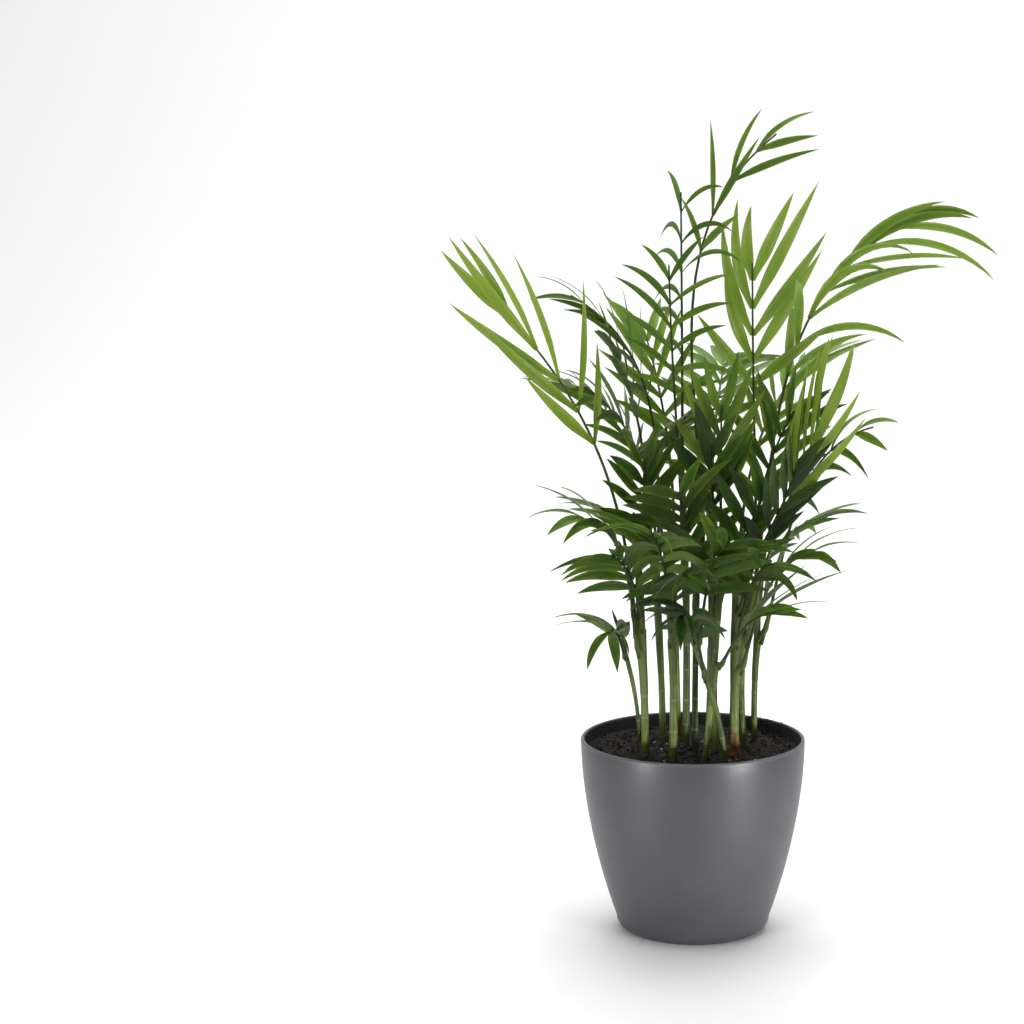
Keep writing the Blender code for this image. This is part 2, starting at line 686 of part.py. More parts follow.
def frond_mesh(name, frond, stalk, leaves):
    flat, ends = stalk
    verts, faces, slots = stalk_shape(frond, flat, ends)
    for slot, leaf in zip([base for pair in slots for base in pair], leaves):
        if leaf is None:
            faces.append(slot)
            continue
        sections = []
        for section in leaf_sections(leaf):
            sections.append(list(range(len(verts), len(verts) + 4)))
            verts.extend(section)
        verts.append(leaf_at(leaf, 1)[0])
        faces.extend(leaf_faces(list(slot), sections, len(verts) - 1))
    bm = bmesh.new()
    made = [bm.verts.new(p) for p in verts]
    for face in faces:
        bm.faces.new([made[i] for i in face])
    bmesh.ops.triangulate(bm, faces=bm.faces)
    bmesh.ops.recalc_face_normals(bm, faces=bm.faces)
    mesh = bpy.data.meshes.new(name)
    bm.to_mesh(mesh)
    bm.free()
    return mesh


def make_soil(finish):
    soil = add_object("soil", soil_mesh(), finish)
    for number, cane in enumerate(CANES, 1):
        hole = mesh_of("socket", *socket_shape(cane))
        cutter = bpy.data.objects.new(f"socket_{number:02d}", hole)
        bpy.context.scene.collection.objects.link(cutter)
        cutter.hide_render = True
        cutter.display_type = "WIRE"
        cut = soil.modifiers.new(cutter.name, "BOOLEAN")
        cut.object = cutter
        cut.operation = "DIFFERENCE"


def main():
    clear_scene()
    plastic = material("anthracite_plastic", (0.115, 0.112, 0.125), 0.5)
    earth = material("potting_soil", (0.012, 0.009, 0.007), 0.95)
    bark = material("cane_green", (0.16, 0.24, 0.05), 0.5)
    leaf = material("leaf_green", (0.05, 0.14, 0.02), 0.45)
    pot = make_pot(plastic)
    make_soil(earth)
    neighbours = Neighbours()
    corners = [v.co.copy() for v in pot.data.vertices]
    neighbours.add("pot", corners, [tuple(face.vertices) for face in pot.data.polygons])
    for number, cane in enumerate(CANES, 1):
        points, faces = cane_shape(cane)
        neighbours.add("canes", points, faces)
        add_object(f"cane_{number:02d}", mesh_of("cane", points, faces), bark)
    stalks = grow_stalks(neighbours)
    leaves = grow_leaves(stalks, neighbours)
    for name, frond in FRONDS.items():
        add_object(name, frond_mesh(name, frond, stalks[name], leaves[name]), leaf)


main()
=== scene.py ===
"""A parlour palm in a round cover pot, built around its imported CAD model.

Run as a script it makes every piece and the stage. Laid out as an add-on, it
lists a button for each group of pieces in the 3D view's sidebar.
"""

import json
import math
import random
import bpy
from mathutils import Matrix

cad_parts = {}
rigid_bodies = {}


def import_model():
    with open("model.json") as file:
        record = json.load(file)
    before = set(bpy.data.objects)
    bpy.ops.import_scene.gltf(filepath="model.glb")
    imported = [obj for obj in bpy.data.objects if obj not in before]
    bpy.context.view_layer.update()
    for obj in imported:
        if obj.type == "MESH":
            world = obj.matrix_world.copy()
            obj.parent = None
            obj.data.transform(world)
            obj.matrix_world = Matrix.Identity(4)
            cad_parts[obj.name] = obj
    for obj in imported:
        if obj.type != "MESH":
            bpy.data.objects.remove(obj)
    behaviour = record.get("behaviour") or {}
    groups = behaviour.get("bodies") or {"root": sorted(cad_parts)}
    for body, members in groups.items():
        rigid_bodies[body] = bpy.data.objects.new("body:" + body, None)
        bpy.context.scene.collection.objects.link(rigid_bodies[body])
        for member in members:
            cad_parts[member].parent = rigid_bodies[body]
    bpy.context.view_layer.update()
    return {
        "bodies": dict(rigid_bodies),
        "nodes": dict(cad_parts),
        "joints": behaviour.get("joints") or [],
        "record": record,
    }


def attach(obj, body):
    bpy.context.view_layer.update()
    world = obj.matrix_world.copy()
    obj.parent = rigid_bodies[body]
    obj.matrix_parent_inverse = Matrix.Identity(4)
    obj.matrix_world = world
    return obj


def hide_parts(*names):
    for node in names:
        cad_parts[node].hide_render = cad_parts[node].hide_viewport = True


bl_info = {
    "name": "Potted parlour palm",
    "version": (1, 0, 0),
    "blender": (4, 5, 0),
    "location": "3D View > Sidebar > Palm",
    "description": "Builds a parlour palm in a round plastic cover pot",
    "category": "Object",
}

from collections import namedtuple

import bpy
import numpy as np
from mathutils import Matrix, Vector
from mathutils.bvhtree import BVHTree

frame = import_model()
BODY = "root"

# ---- How the plant grows: the same values and rules as the CAD model's.

# Pot, in metres.
POT_HEIGHT = 0.157
POT_RIM_RADIUS = 0.090
POT_TAPER = 0.0319  # how far the side would draw in from rim to floor
POT_TAPER_POWER = 1.83
POT_FOOT_HEIGHT = 0.011  # where the round foot meets the side
POT_FOOT_ROUND = 0.0121  # how far the round foot reaches in from the side to the flat underside
POT_WALL = 0.003
POT_FLOOR = 0.004

# Soil.
SOIL_BELOW_RIM = 0.010
SOIL_LEVEL = POT_HEIGHT - SOIL_BELOW_RIM
SOIL_MOUND = 0.003
SOIL_LUMPS = 0.0011

# Gaps and depths.
GAP = 0.0003
CANE_DEPTH = 0.014  # how deep a cane stands in the soil
CLEARANCE = 0.0004  # between any two leaflets
LEAF_CLEAR_OF_STALK = 0.0042  # nearer than this, a leaflet isn't tested against its own frond
LEAF_ROOT = 0.001  # where a leaflet is far enough out to be tested against other pieces

# Stalks and leaflets.
CANE_SIDES = 7
CANE_RINGS = 4
STALK_RADIUS = 0.0014
STALK_TIP_RADIUS = 0.0007
STALK_RINGS = 5
STALK_HANDLE = 0.38  # how long its curve keeps the direction of each end, as a share of its reach
LEAF_BASE = 0.0035  # how much of the stalk a leaflet grows from
LEAF_THICKNESS = 0.0008
LEAF_SECTIONS = (0.36, 0.70)  # where a leaflet has its sections, as shares of its length
LEAF_WIDEST = 0.34
LEAF_NECK = 0.42  # its width at the root, as a share of its widest
LEAF_POINT = 1.9  # the higher, the fuller its sides stay towards the point
LEAF_TILT = -20  # degrees that each leaflet leans, as slats do, to clear the next one
LEAF_FOLD = 0.22  # how far the edges stand up, as a share of the half width
LEAF_LIFT = 0.14  # how far a leaflet sets off towards the stalk's upper side
LEAF_HANG_OUT = 0.25  # how far its bend leads away from the stalk
LEAF_SICKLE = 0.05  # how far it curves back towards the stalk's tip, as a share of its length

# Leaflets stand out widest at the foot of the leafy part and least at the tip,
# and are longest halfway.
SPREAD_LOW = 1.2
SPREAD_HIGH = 0.6
LENGTH_AT_ENDS = 0.70

# How far each leaflet differs from its neighbours at most, up or down.
ANGLE_WOBBLE = 9
DROOP_WOBBLE = 0.4
LENGTH_WOBBLE = 0.13
TILT_WOBBLE = 16

Cane = namedtuple("Cane", "foot head height radius bow")
Frond = namedtuple("Frond", "cane root tip rise end bare pairs length width spread droop roll tone")
Leaf = namedtuple("Leaf", "root first down up side length half droop twist")

# Each cane: where it leaves the soil, where its top is, how high that is above
# the soil's edge, its radius at the foot and how far its middle bows out.
CANES = (
    Cane((-0.037, -0.034), (-0.046, -0.032), 0.198, 0.0034, (0.002, -0.002)),
    Cane((-0.024, 0.018), (-0.036, 0.016), 0.188, 0.0029, (0.003, 0.002)),
    Cane((-0.016, -0.046), (-0.018, -0.040), 0.143, 0.0036, (0.002, -0.002)),
    Cane((-0.006, -0.007), (-0.010, -0.004), 0.253, 0.0032, (0.003, -0.002)),
    Cane((0.002, -0.026), (0.008, -0.018), 0.233, 0.0028, (-0.002, -0.003)),
    Cane((0.008, -0.040), (0.023, -0.034), 0.173, 0.0027, (0.002, -0.003)),
    Cane((0.019, -0.022), (0.019, -0.012), 0.143, 0.0031, (-0.002, 0.002)),
    Cane((0.027, -0.050), (-0.012, -0.056), 0.125, 0.0023, (0.008, -0.002)),
    Cane((0.034, -0.034), (0.034, -0.032), 0.153, 0.0036, (-0.001, 0.003)),
    Cane((0.041, 0.000), (0.046, 0.004), 0.183, 0.0029, (-0.004, 0.002)),
    Cane((0.050, 0.016), (0.058, 0.014), 0.163, 0.0027, (-0.003, 0.002)),
    Cane((-0.042, -0.004), (-0.064, -0.008), 0.115, 0.0019, (0.006, 0.001)),
    Cane((0.012, 0.026), (0.012, 0.040), 0.208, 0.0029, (0.003, -0.003)),
    Cane((-0.012, 0.040), (-0.020, 0.054), 0.183, 0.0028, (0.002, -0.002)),
    Cane((0.032, 0.038), (0.042, 0.050), 0.173, 0.0027, (-0.002, -0.003)),
)

# Each frond: its cane, how high its stalk leaves the cane, the end of its stalk,
# both above the soil's edge, how steeply the stalk sets off and ends in degrees,
# the bare share of the stalk, its pairs of leaflets, their length and width,
# their angle to the stalk, how far they bend down, how far the frond rolls to
# its left, and how light its leaflets are, from 0, the oldest and darkest, to 1,
# the youngest. That tone is partly age and partly painted light: painted shade
# darkens the crowded centre and low fronds, and painted back light lightens the
# brightest ones.
FROND_ROWS = {
    "left_tall": (0, 0.098, (-0.152, -0.060, 0.366), 88, 46, 0.50, 5, 0.118, 0.0090, 22, 3, 68, 0.95),
    "right_arching": (9, 0.103, (0.170, -0.020, 0.424), 80, 24, 0.50, 7, 0.112, 0.0080, 14, 66, -124, 0.72),
    "centre_tall": (3, 0.183, (-0.009, -0.016, 0.446), 90, 88, 0.40, 7, 0.092, 0.0048, 52, 84, 50, 0.42),
    "top": (4, 0.163, (0.064, -0.030, 0.490), 90, 38, 0.64, 4, 0.070, 0.0060, 13, 26, -82, 0.55),
    "right_upright": (10, 0.098, (0.046, -0.030, 0.392), 88, 88, 0.66, 5, 0.112, 0.0096, 30, 10, -10, 0.80),
    "left_behind": (1, 0.108, (-0.096, 0.010, 0.365), 88, 30, 0.58, 6, 0.076, 0.0050, 34, 40, 24, 0.34),
    "centre_thin": (3, 0.143, (-0.018, -0.050, 0.392), 86, 86, 0.58, 6, 0.062, 0.0056, 44, 46, 16, 0.48),
    "right_fan": (9, 0.083, (0.100, -0.046, 0.276), 80, 66, 0.56, 6, 0.112, 0.0074, 16, 0, -100, 1.0),
    "right_low": (10, 0.083, (0.138, -0.052, 0.267), 72, 16, 0.50, 4, 0.060, 0.0070, 30, 56, -60, 0.50),
    "left_low": (0, 0.083, (-0.092, -0.060, 0.198), 82, 4, 0.36, 6, 0.068, 0.0080, 38, 58, 24, 0.34),
    "left_hanging": (11, 0.075, (-0.066, -0.040, 0.101), 66, -40, 0.36, 4, 0.064, 0.0092, 30, 60, 16, 0.30),
    "right_lowest": (5, 0.075, (0.064, -0.084, 0.128), 58, 8, 0.40, 5, 0.082, 0.0078, 24, 30, -24, 0.46),
    "right_dark": (8, 0.115, (0.080, -0.074, 0.240), 80, 68, 0.42, 5, 0.058, 0.0098, 30, 16, 8, 0.03),
    "right_short": (8, 0.068, (0.098, -0.066, 0.172), 74, 6, 0.44, 5, 0.060, 0.0078, 32, 36, -26, 0.40),
    "centre_fan": (5, 0.143, (0.022, -0.062, 0.286), 88, 84, 0.46, 5, 0.068, 0.0088, 28, 4, -6, 0.58),
    "left_middle": (1, 0.088, (-0.084, -0.022, 0.294), 88, 30, 0.52, 6, 0.066, 0.0086, 38, 46, 38, 0.30),
    "centre_left": (1, 0.172, (-0.004, -0.056, 0.276), 86, 24, 0.42, 5, 0.064, 0.0084, 40, 40, -24, 0.24),
    "front_bright": (2, 0.115, (-0.032, -0.100, 0.192), 80, 24, 0.38, 5, 0.070, 0.0090, 46, 64, 18, 0.50),
    "front_dark": (2, 0.093, (-0.004, -0.108, 0.160), 78, -4, 0.38, 6, 0.062, 0.0094, 44, 54, -22, 0.12),
    "front_centre": (7, 0.093, (0.028, -0.104, 0.184), 78, 22, 0.38, 5, 0.066, 0.0094, 44, 42, 26, 0.24),
    "front_hanging": (7, 0.068, (-0.010, -0.100, 0.126), 70, -24, 0.38, 5, 0.056, 0.0094, 34, 80, 10, 0.06),
    "middle_dark": (6, 0.088, (0.056, -0.074, 0.222), 84, 58, 0.38, 6, 0.064, 0.0098, 38, 24, 26, 0.10),
    "left_broad": (0, 0.129, (-0.036, -0.080, 0.246), 88, 66, 0.38, 6, 0.060, 0.0094, 38, 24, -34, 0.24),
    "front_left": (0, 0.103, (-0.062, -0.086, 0.172), 80, 14, 0.38, 6, 0.064, 0.0088, 40, 52, -26, 0.24),
    "front_right": (8, 0.089, (0.060, -0.100, 0.168), 78, 12, 0.38, 6, 0.066, 0.0088, 40, 46, 22, 0.24),
    "centre_dark": (6, 0.123, (0.014, -0.074, 0.256), 86, 72, 0.38, 6, 0.066, 0.0098, 36, 20, 30, 0.08),
    "centre_low": (4, 0.115, (-0.010, -0.086, 0.222), 84, 48, 0.38, 6, 0.066, 0.0096, 42, 34, -30, 0.24),
    "right_middle": (9, 0.143, (0.078, -0.036, 0.278), 84, 54, 0.38, 6, 0.068, 0.0084, 34, 24, 34, 0.38),
    "left_upper": (1, 0.153, (-0.068, -0.006, 0.334), 88, 58, 0.56, 5, 0.064, 0.0090, 34, 24, 44, 0.36),
    "back_tall": (13, 0.153, (-0.040, 0.104, 0.330), 90, 50, 0.46, 6, 0.076, 0.0080, 34, 24, 0, 0.62),
    "back_right": (14, 0.143, (0.096, 0.120, 0.300), 86, 22, 0.46, 7, 0.080, 0.0078, 32, 26, 10, 0.52),
    "back_left": (13, 0.133, (-0.100, 0.112, 0.280), 84, 18, 0.44, 7, 0.076, 0.0076, 34, 34, -10, 0.24),
    "back_arching": (12, 0.173, (0.030, 0.160, 0.300), 84, 4, 0.44, 7, 0.080, 0.0078, 34, 34, 0, 0.45),
    "back_centre": (12, 0.153, (0.004, 0.084, 0.270), 88, 50, 0.42, 6, 0.070, 0.0082, 38, 30, 0, 0.60),
    "back_low_left": (13, 0.093, (-0.074, 0.108, 0.175), 78, 10, 0.42, 6, 0.064, 0.0082, 40, 50, -24, 0.24),
    "back_low_right": (14, 0.089, (0.104, 0.092, 0.172), 78, 12, 0.42, 6, 0.064, 0.0082, 40, 48, 24, 0.24),
    "back_hanging": (12, 0.073, (0.024, 0.124, 0.132), 72, -8, 0.42, 5, 0.058, 0.0086, 40, 70, 12, 0.24),
}
FRONDS = {"frond_" + name: Frond(*row) for name, row in FROND_ROWS.items()}

# What a leaflet tries in turn when a neighbour is in its way: degrees added to
# its angle, degrees added to its droop, and a share of its length.
LEAF_TRIES = (
    (0, 0, 1.0), (7, 0, 1.0), (-7, 0, 1.0), (0, 14, 1.0), (0, -14, 1.0),
    (10, 12, 0.95), (-8, -12, 0.95), (14, -14, 0.9), (-12, 16, 0.9), (0, 30, 0.85),
    (0, -30, 0.85), (0, 0, 0.75), (16, 26, 0.75), (-14, -26, 0.75), (22, 0, 0.65),
    (0, 44, 0.6), (0, 0, 0.5), (20, -36, 0.5), (0, 0, 0.36),
)

# How far round its cane a stalk's root moves, in degrees, and how far down it, to miss a neighbour.
ROOT_TRIES = (0, 30, -30, 60, -60, 95, -95, 130, -130, 180)
ROOT_DROPS = (0, 0.010, -0.010, 0.020, -0.020, 0.032, -0.032)


def side_radius(z):
    """The pot's outer radius at a height on its side."""
    return POT_RIM_RADIUS - POT_TAPER * (1 - z / POT_HEIGHT) ** POT_TAPER_POWER


def inner_radius(z):
    return side_radius(z) - POT_WALL


def soil_height(x, y):
    """The top of the soil: a low mound with soft lumps."""
    r = math.hypot(x, y) / inner_radius(SOIL_LEVEL)
    broad = math.sin(95 * x + 1.3) * math.cos(83 * y + 0.4)
    small = math.sin(171 * x - 139 * y)
    lumps = SOIL_LUMPS * (broad + 0.6 * small) * (1 - r**4)
    return SOIL_LEVEL + SOIL_MOUND * (1 - r * r) + lumps


def cane_point(cane, share):
    """A point on a cane's middle line, from its buried foot at 0 to its top at 1."""
    x, y = cane.foot
    foot = Vector((x, y, soil_height(x, y) - CANE_DEPTH))
    head = Vector((*cane.head, SOIL_LEVEL + cane.height))
    return foot.lerp(head, share) + Vector((*cane.bow, 0)) * 4 * share * (1 - share)


def cane_share(cane, height):
    foot = soil_height(*cane.foot) - CANE_DEPTH
    return (height - foot) / (SOIL_LEVEL + cane.height - foot)


def cane_radius(cane, share):
    return cane.radius * (1 - 0.25 * share)


def tube(points, radii, sides):
    """Points and faces of a closed tube whose rings lie level."""
    verts, faces = [], []
    for centre, radius in zip(points, radii):
        for i in range(sides):
            a = 2 * math.pi * i / sides
            verts.append(centre + Vector((radius * math.cos(a), radius * math.sin(a), 0)))
    for k in range(len(points) - 1):
        for i in range(sides):
            j = (i + 1) % sides
            low, high = k * sides, (k + 1) * sides
            faces.append((low + i, low + j, high + j, high + i))
    faces.append(tuple(reversed(range(sides))))
    top = (len(points) - 1) * sides
    faces.append(tuple(range(top, top + sides)))
    return verts, faces


def cane_shape(cane):
    shares = [i / CANE_RINGS for i in range(CANE_RINGS + 1)]
    points = [cane_point(cane, share) for share in shares]
    radii = [cane_radius(cane, share) for share in shares]
    top = points[-1] + (points[-1] - points[-2]).normalized() * radii[-1]
    return tube(points + [top], radii + [radii[-1] * 0.5], CANE_SIDES)


def bezier(ends, u):
    a, b, c, d = ends
    v = 1 - u
    return a * v**3 + b * 3 * v * v * u + c * 3 * v * u * u + d * u**3


def bezier_slope(ends, u):
    a, b, c, d = ends
    v = 1 - u
    return ((b - a) * v * v + (c - b) * 2 * v * u + (d - c) * u * u).normalized()


def stalk_curve(frond, turn, drop):
    """A stalk's four control points, from its root beside the cane to its tip."""
    cane = CANES[frond.cane]
    share = cane_share(cane, SOIL_LEVEL + frond.root - drop)
    middle = cane_point(cane, share)
    tip = Vector(frond.tip) + Vector((0, 0, SOIL_LEVEL))
    flat = Vector((tip.x - middle.x, tip.y - middle.y, 0)).normalized()
    side = Matrix.Rotation(math.radians(turn), 3, "Z") @ flat
    stand_off = cane_radius(cane, share) + STALK_RADIUS * 1.5 + GAP * 2
    root = middle + side * stand_off
    reach = (tip - root).length * STALK_HANDLE
    rise, end = math.radians(frond.rise), math.radians(frond.end)
    start = flat * math.cos(rise) + Vector((0, 0, math.sin(rise)))
    finish = flat * math.cos(end) + Vector((0, 0, math.sin(end)))
    return flat, (root, root + start * reach, tip - finish * reach, tip)


def stalk_frame(frond, flat, ends, u):
    """Point, direction, upper side and right side of a stalk at u."""
    along = bezier_slope(ends, u)
    level = flat.cross(Vector((0, 0, 1)))
    level = (level - along * along.dot(level)).normalized()
    up = level.cross(along)
    roll = math.radians(frond.roll)
    up = up * math.cos(roll) - level * math.sin(roll)
    return bezier(ends, u), along, up, along.cross(up)


def stalk_stations(frond, ends):
    """Where the stalk has a ring: along its bare part, then two for each pair."""
    length = sum((bezier(ends, i / 20) - bezier(ends, (i + 1) / 20)).length for i in range(20))
    half = LEAF_BASE / 2 / length
    bare = [frond.bare * i / STALK_RINGS for i in range(STALK_RINGS)]
    pairs = []
    for i in range(frond.pairs):
        u = frond.bare + (1 - frond.bare) * (i + 0.4) / frond.pairs
        pairs.append((u - half, u + half))
    return bare, pairs


def stalk_ring(frond, flat, ends, u, extra=0):
    middle, _, up, right = stalk_frame(frond, flat, ends, u)
    size = STALK_RADIUS + (STALK_TIP_RADIUS - STALK_RADIUS) * u + extra
    corners = ((1, 1), (1, -1), (-1, -1), (-1, 1))
    return [middle + (up * a + right * b) * size for a, b in corners]


def stalk_shape(frond, flat, ends, extra=0):
    """Points, faces and the open side faces of a stalk where its leaflets grow."""
    bare, pairs = stalk_stations(frond, ends)
    stations = bare + [u for pair in pairs for u in pair] + [1.0]
    verts = [p for u in stations for p in stalk_ring(frond, flat, ends, u, extra)]
    faces, slots = [], []
    for k in range(len(stations) - 1):
        low, high = 4 * k, 4 * k + 4
        pair = k - len(bare)
        leafy = 0 <= pair < 2 * frond.pairs and pair % 2 == 0
        faces.append((low, low + 1, high + 1, high))
        faces.append((low + 2, low + 3, high + 3, high + 2))
        right = (low, high, high + 3, low + 3)
        left = (low + 1, high + 1, high + 2, low + 2)
        if leafy:
            slots.append((right, left))
        else:
            faces.extend((right, left))
    faces.append((0, 1, 2, 3))
    top = 4 * len(stations) - 4
    faces.append((top, top + 1, top + 2, top + 3))
    return verts, faces, slots


def leaf_of(frond, frame, side, share, wobble, change):
    """One leaflet at a share of the way along its frond's leafy part."""
    root, along, up, right = frame
    turn, sag, size = change
    spread = frond.spread * (SPREAD_LOW + (SPREAD_HIGH - SPREAD_LOW) * share)
    angle = math.radians(spread + ANGLE_WOBBLE * wobble[0] + turn)
    droop = math.radians(frond.droop * (1 + DROOP_WOBBLE * wobble[1]) + sag)
    fullness = LENGTH_AT_ENDS + (1 - LENGTH_AT_ENDS) * 4 * share * (1 - share)
    length = frond.length * fullness * (1 + LENGTH_WOBBLE * wobble[2]) * size
    outwards = right * side
    first = along * math.cos(angle) + outwards * math.sin(angle) + up * LEAF_LIFT
    first.normalize()
    down = Vector((0, 0, -1)) + outwards * LEAF_HANG_OUT
    down = (down - first * first.dot(down)).normalized()
    twist = math.radians(LEAF_TILT + TILT_WOBBLE * wobble[3])
    return Leaf(root, first, down, up, side, length, frond.width / 2, droop, twist)


def leaf_at(leaf, share):
    """A leaflet's middle, forward edge and upper side at a share of its length."""
    bend = leaf.droop * share
    ahead = leaf.first * math.cos(bend) + leaf.down * math.sin(bend)
    upper = (leaf.up - ahead * leaf.up.dot(ahead)).normalized()
    front = ahead.cross(upper) * -leaf.side
    chord = leaf.first * math.cos(bend / 2) + leaf.down * math.sin(bend / 2)
    curved = math.sin(bend / 2) / (bend / 2) if bend else 1
    middle = leaf.root + chord * (leaf.length * share * curved)
    middle += front * (leaf.length * LEAF_SICKLE * share * (share - 1) * 2)
    cos, sin = math.cos(leaf.twist), math.sin(leaf.twist)
    return middle, front * cos - upper * sin, upper * cos + front * sin


def leaf_half(leaf, share):
    """Half of a leaflet's width at a share of its length: a neck, then a long fine point."""
    if share < LEAF_WIDEST:
        part = share / LEAF_WIDEST
        return leaf.half * (LEAF_NECK + (1 - LEAF_NECK) * part * part * (3 - 2 * part))
    part = (share - LEAF_WIDEST) / (1 - LEAF_WIDEST)
    return leaf.half * (1 - part**LEAF_POINT)


def leaf_sections(leaf, extra=0):
    """The four corners of each section between a leaflet's root and its tip."""
    sections = []
    for share in LEAF_SECTIONS:
        middle, front, upper = leaf_at(leaf, share)
        half = leaf_half(leaf, share) + extra
        thick = upper * (LEAF_THICKNESS / 2 + extra)
        edge, rise = front * half, upper * LEAF_FOLD * half
        sections.append([middle + thick, middle + edge + rise, middle - thick, middle - edge + rise])
    return sections


def leaf_faces(base, sections, tip):
    """Faces that join a four-cornered root to the sections and the tip, as index lists."""
    rings = [base] + sections
    faces = []
    for a, b in zip(rings, rings[1:]):
        for i in range(4):
            j = (i + 1) % 4
            faces.extend(((a[i], a[j], b[j]), (a[i], b[j], b[i])))
    last = rings[-1]
    for i in range(4):
        faces.append((last[i], last[(i + 1) % 4], tip))
    return faces


def leaf_probe(leaf, skip):
    """A slightly fat stand-in for a leaflet from skip metres out, to test against neighbours."""
    near, front, upper = leaf_at(leaf, LEAF_SECTIONS[0])
    nose = leaf.root + (near - leaf.root).normalized() * skip
    high = upper * (STALK_RADIUS + CLEARANCE)
    wide = front * (LEAF_BASE / 2 + CLEARANCE)
    points = [nose + high - wide, nose + high + wide, nose - high + wide, nose - high - wide]
    for section in leaf_sections(leaf, CLEARANCE):
        points.extend(section)
    last, tip = leaf_at(leaf, LEAF_SECTIONS[-1])[0], leaf_at(leaf, 1)[0]
    points.append(tip + (tip - last).normalized() * CLEARANCE)
    faces = leaf_faces([0, 1, 2, 3], [[4, 5, 6, 7], [8, 9, 10, 11]], 12)
    return points, faces + [(0, 1, 2, 3)]


class Neighbours:
    """What has grown so far, and whether a new piece would meet it."""

    def __init__(self):
        self.trees = []

    @staticmethod
    def box(points):
        return [(min(p[i] for p in points), max(p[i] for p in points)) for i in range(3)]

    def add(self, owner, points, faces):
        self.trees.append((owner, self.box(points), BVHTree.FromPolygons(points, faces)))

    def meets(self, points, faces, only=None, but=None):
        """Whether a piece meets what only grew, or what all but one grew."""
        box = self.box(points)
        tree = BVHTree.FromPolygons(points, faces)
        for owner, other_box, other in self.trees:
            if owner == but or only not in (None, owner):
                continue
            near = all(a[0] <= b[1] and b[0] <= a[1] for a, b in zip(box, other_box))
            if near and tree.overlap(other):
                return True
        return False


def grow_stalks(neighbours):
    """Each frond's heading and curve, with its root turned round the cane until it is clear."""
    grown = {}
    for name, frond in FRONDS.items():
        for turn, drop in [(turn, drop) for drop in ROOT_DROPS for turn in ROOT_TRIES]:
            flat, ends = stalk_curve(frond, turn, drop)
            points, faces, slots = stalk_shape(frond, flat, ends, CLEARANCE)
            faces = faces + [face for pair in slots for face in pair]
            if not neighbours.meets(points, faces):
                break
        neighbours.add(name, points, faces)
        grown[name] = (flat, ends)
    return grown


def grow_leaves(stalks, neighbours):
    """For each frond, its leaflets by pair and side; None where there is no room for one."""
    grown = {}
    for name, frond in FRONDS.items():
        flat, ends = stalks[name]
        draw = random.Random(name)
        leaves = []
        for i, (low, high) in enumerate(stalk_stations(frond, ends)[1]):
            frame = stalk_frame(frond, flat, ends, (low + high) / 2)
            share = i / (frond.pairs - 1)
            for side in (1, -1):
                wobble = [draw.uniform(-1, 1) for _ in range(4)]
                leaves.append(grow_leaf(name, frame, side, share, wobble, neighbours))
        grown[name] = leaves
    return grown


def grow_leaf(name, frame, side, share, wobble, neighbours):
    """The first way to lay a leaflet that meets nothing, or None."""
    for change in LEAF_TRIES:
        leaf = leaf_of(FRONDS[name], frame, side, share, wobble, change)
        way = (leaf_at(leaf, LEAF_SECTIONS[0])[0] - leaf.root).normalized()
        whole = leaf_probe(leaf, LEAF_ROOT)
        outer = leaf_probe(leaf, LEAF_CLEAR_OF_STALK / way.cross(frame[1]).length)
        if neighbours.meets(*whole, but=name) or neighbours.meets(*outer, only=name):
            continue
        neighbours.add(name, *whole)
        return leaf
    return None


# ---- Values for the looks alone.

BLADE_ROWS = 11
BLADE_SECTION = ((-1, 0), (-0.5, 1), (0, 1), (0.5, 1), (1, 0), (0, -1))
BLADE_THICK = 0.00030
BLADE_CUP = 1.35  # above 1, a blade's fold is soft at the midrib
BLADE_RIPPLE = 0.035
TUBE_BEVEL = 2  # resolution of a tube's bevel: eight sides
STALK_STEPS = 26
STALK_SWELL = 1.05  # a stalk's girth at its root, as a share of the plain one
SHEATH_STEPS = 7
SHEATH_BELOW = 0.030
SHEATH_CLASP = 0.6  # the share of a sheath that clasps the cane, before it runs out along the stalk
SHEATH_ALONG = (0.03, 0.10)  # where it meets the stalk and how far it follows it, as shares of the stalk
DRY_STEPS = 6
DRY_FOOT = 1.14  # a dry sheath's girth at its foot, as a share of the cane's
POT_SEGMENTS = 96
FOOT_STEPS, SIDE_STEPS, LIP_STEPS, INSIDE_STEPS = 5, 14, 8, 8
SOIL_CUTS = 110
SOIL_EDGE_DROPS = (0.003, 0.012)  # how far the bed turns down at its edge, in two steps
RIM_CRUMBS = 130
RING_GAP = (0.017, 0.032)  # least and most space between a cane's rings
SWEEP_SIZE, SWEEP_RISE, SWEEP_ROUND = 8, 5, 2.0
SENSOR_WIDTH = 36

# Colours that no setting changes.
PERLITE_CLEAN = (0.62, 0.58, 0.50)
PERLITE_STAINED = (0.22, 0.16, 0.10)
CANE_RING = (0.20, 0.22, 0.085)
EARTH_STAIN = (0.050, 0.034, 0.016)
STALK_DARK = (0.022, 0.042, 0.009)
STALK_DARKEST = (0.010, 0.017, 0.006)
STALK_GREEN = (0.075, 0.125, 0.026)
SHEATH_STREAK = (0.055, 0.026, 0.010)
VEIN_SHADE = (0.42, 0.52, 0.38)
MIDRIB_GREEN = (0.26, 0.36, 0.09)
PAPER = (0.86, 0.86, 0.86)


# ---- Settings.


def colour(title, about, value):
    """A colour setting with its title, description and default."""
    return bpy.props.FloatVectorProperty(
        name=title, description=about, subtype="COLOR", size=3, min=0, max=1, default=value
    )


def share(title, about, value):
    return bpy.props.FloatProperty(name=title, description=about, min=0, max=1, default=value)


def length(title, about, value):
    return bpy.props.FloatProperty(
        name=title, description=about, min=0, unit="LENGTH", default=value
    )


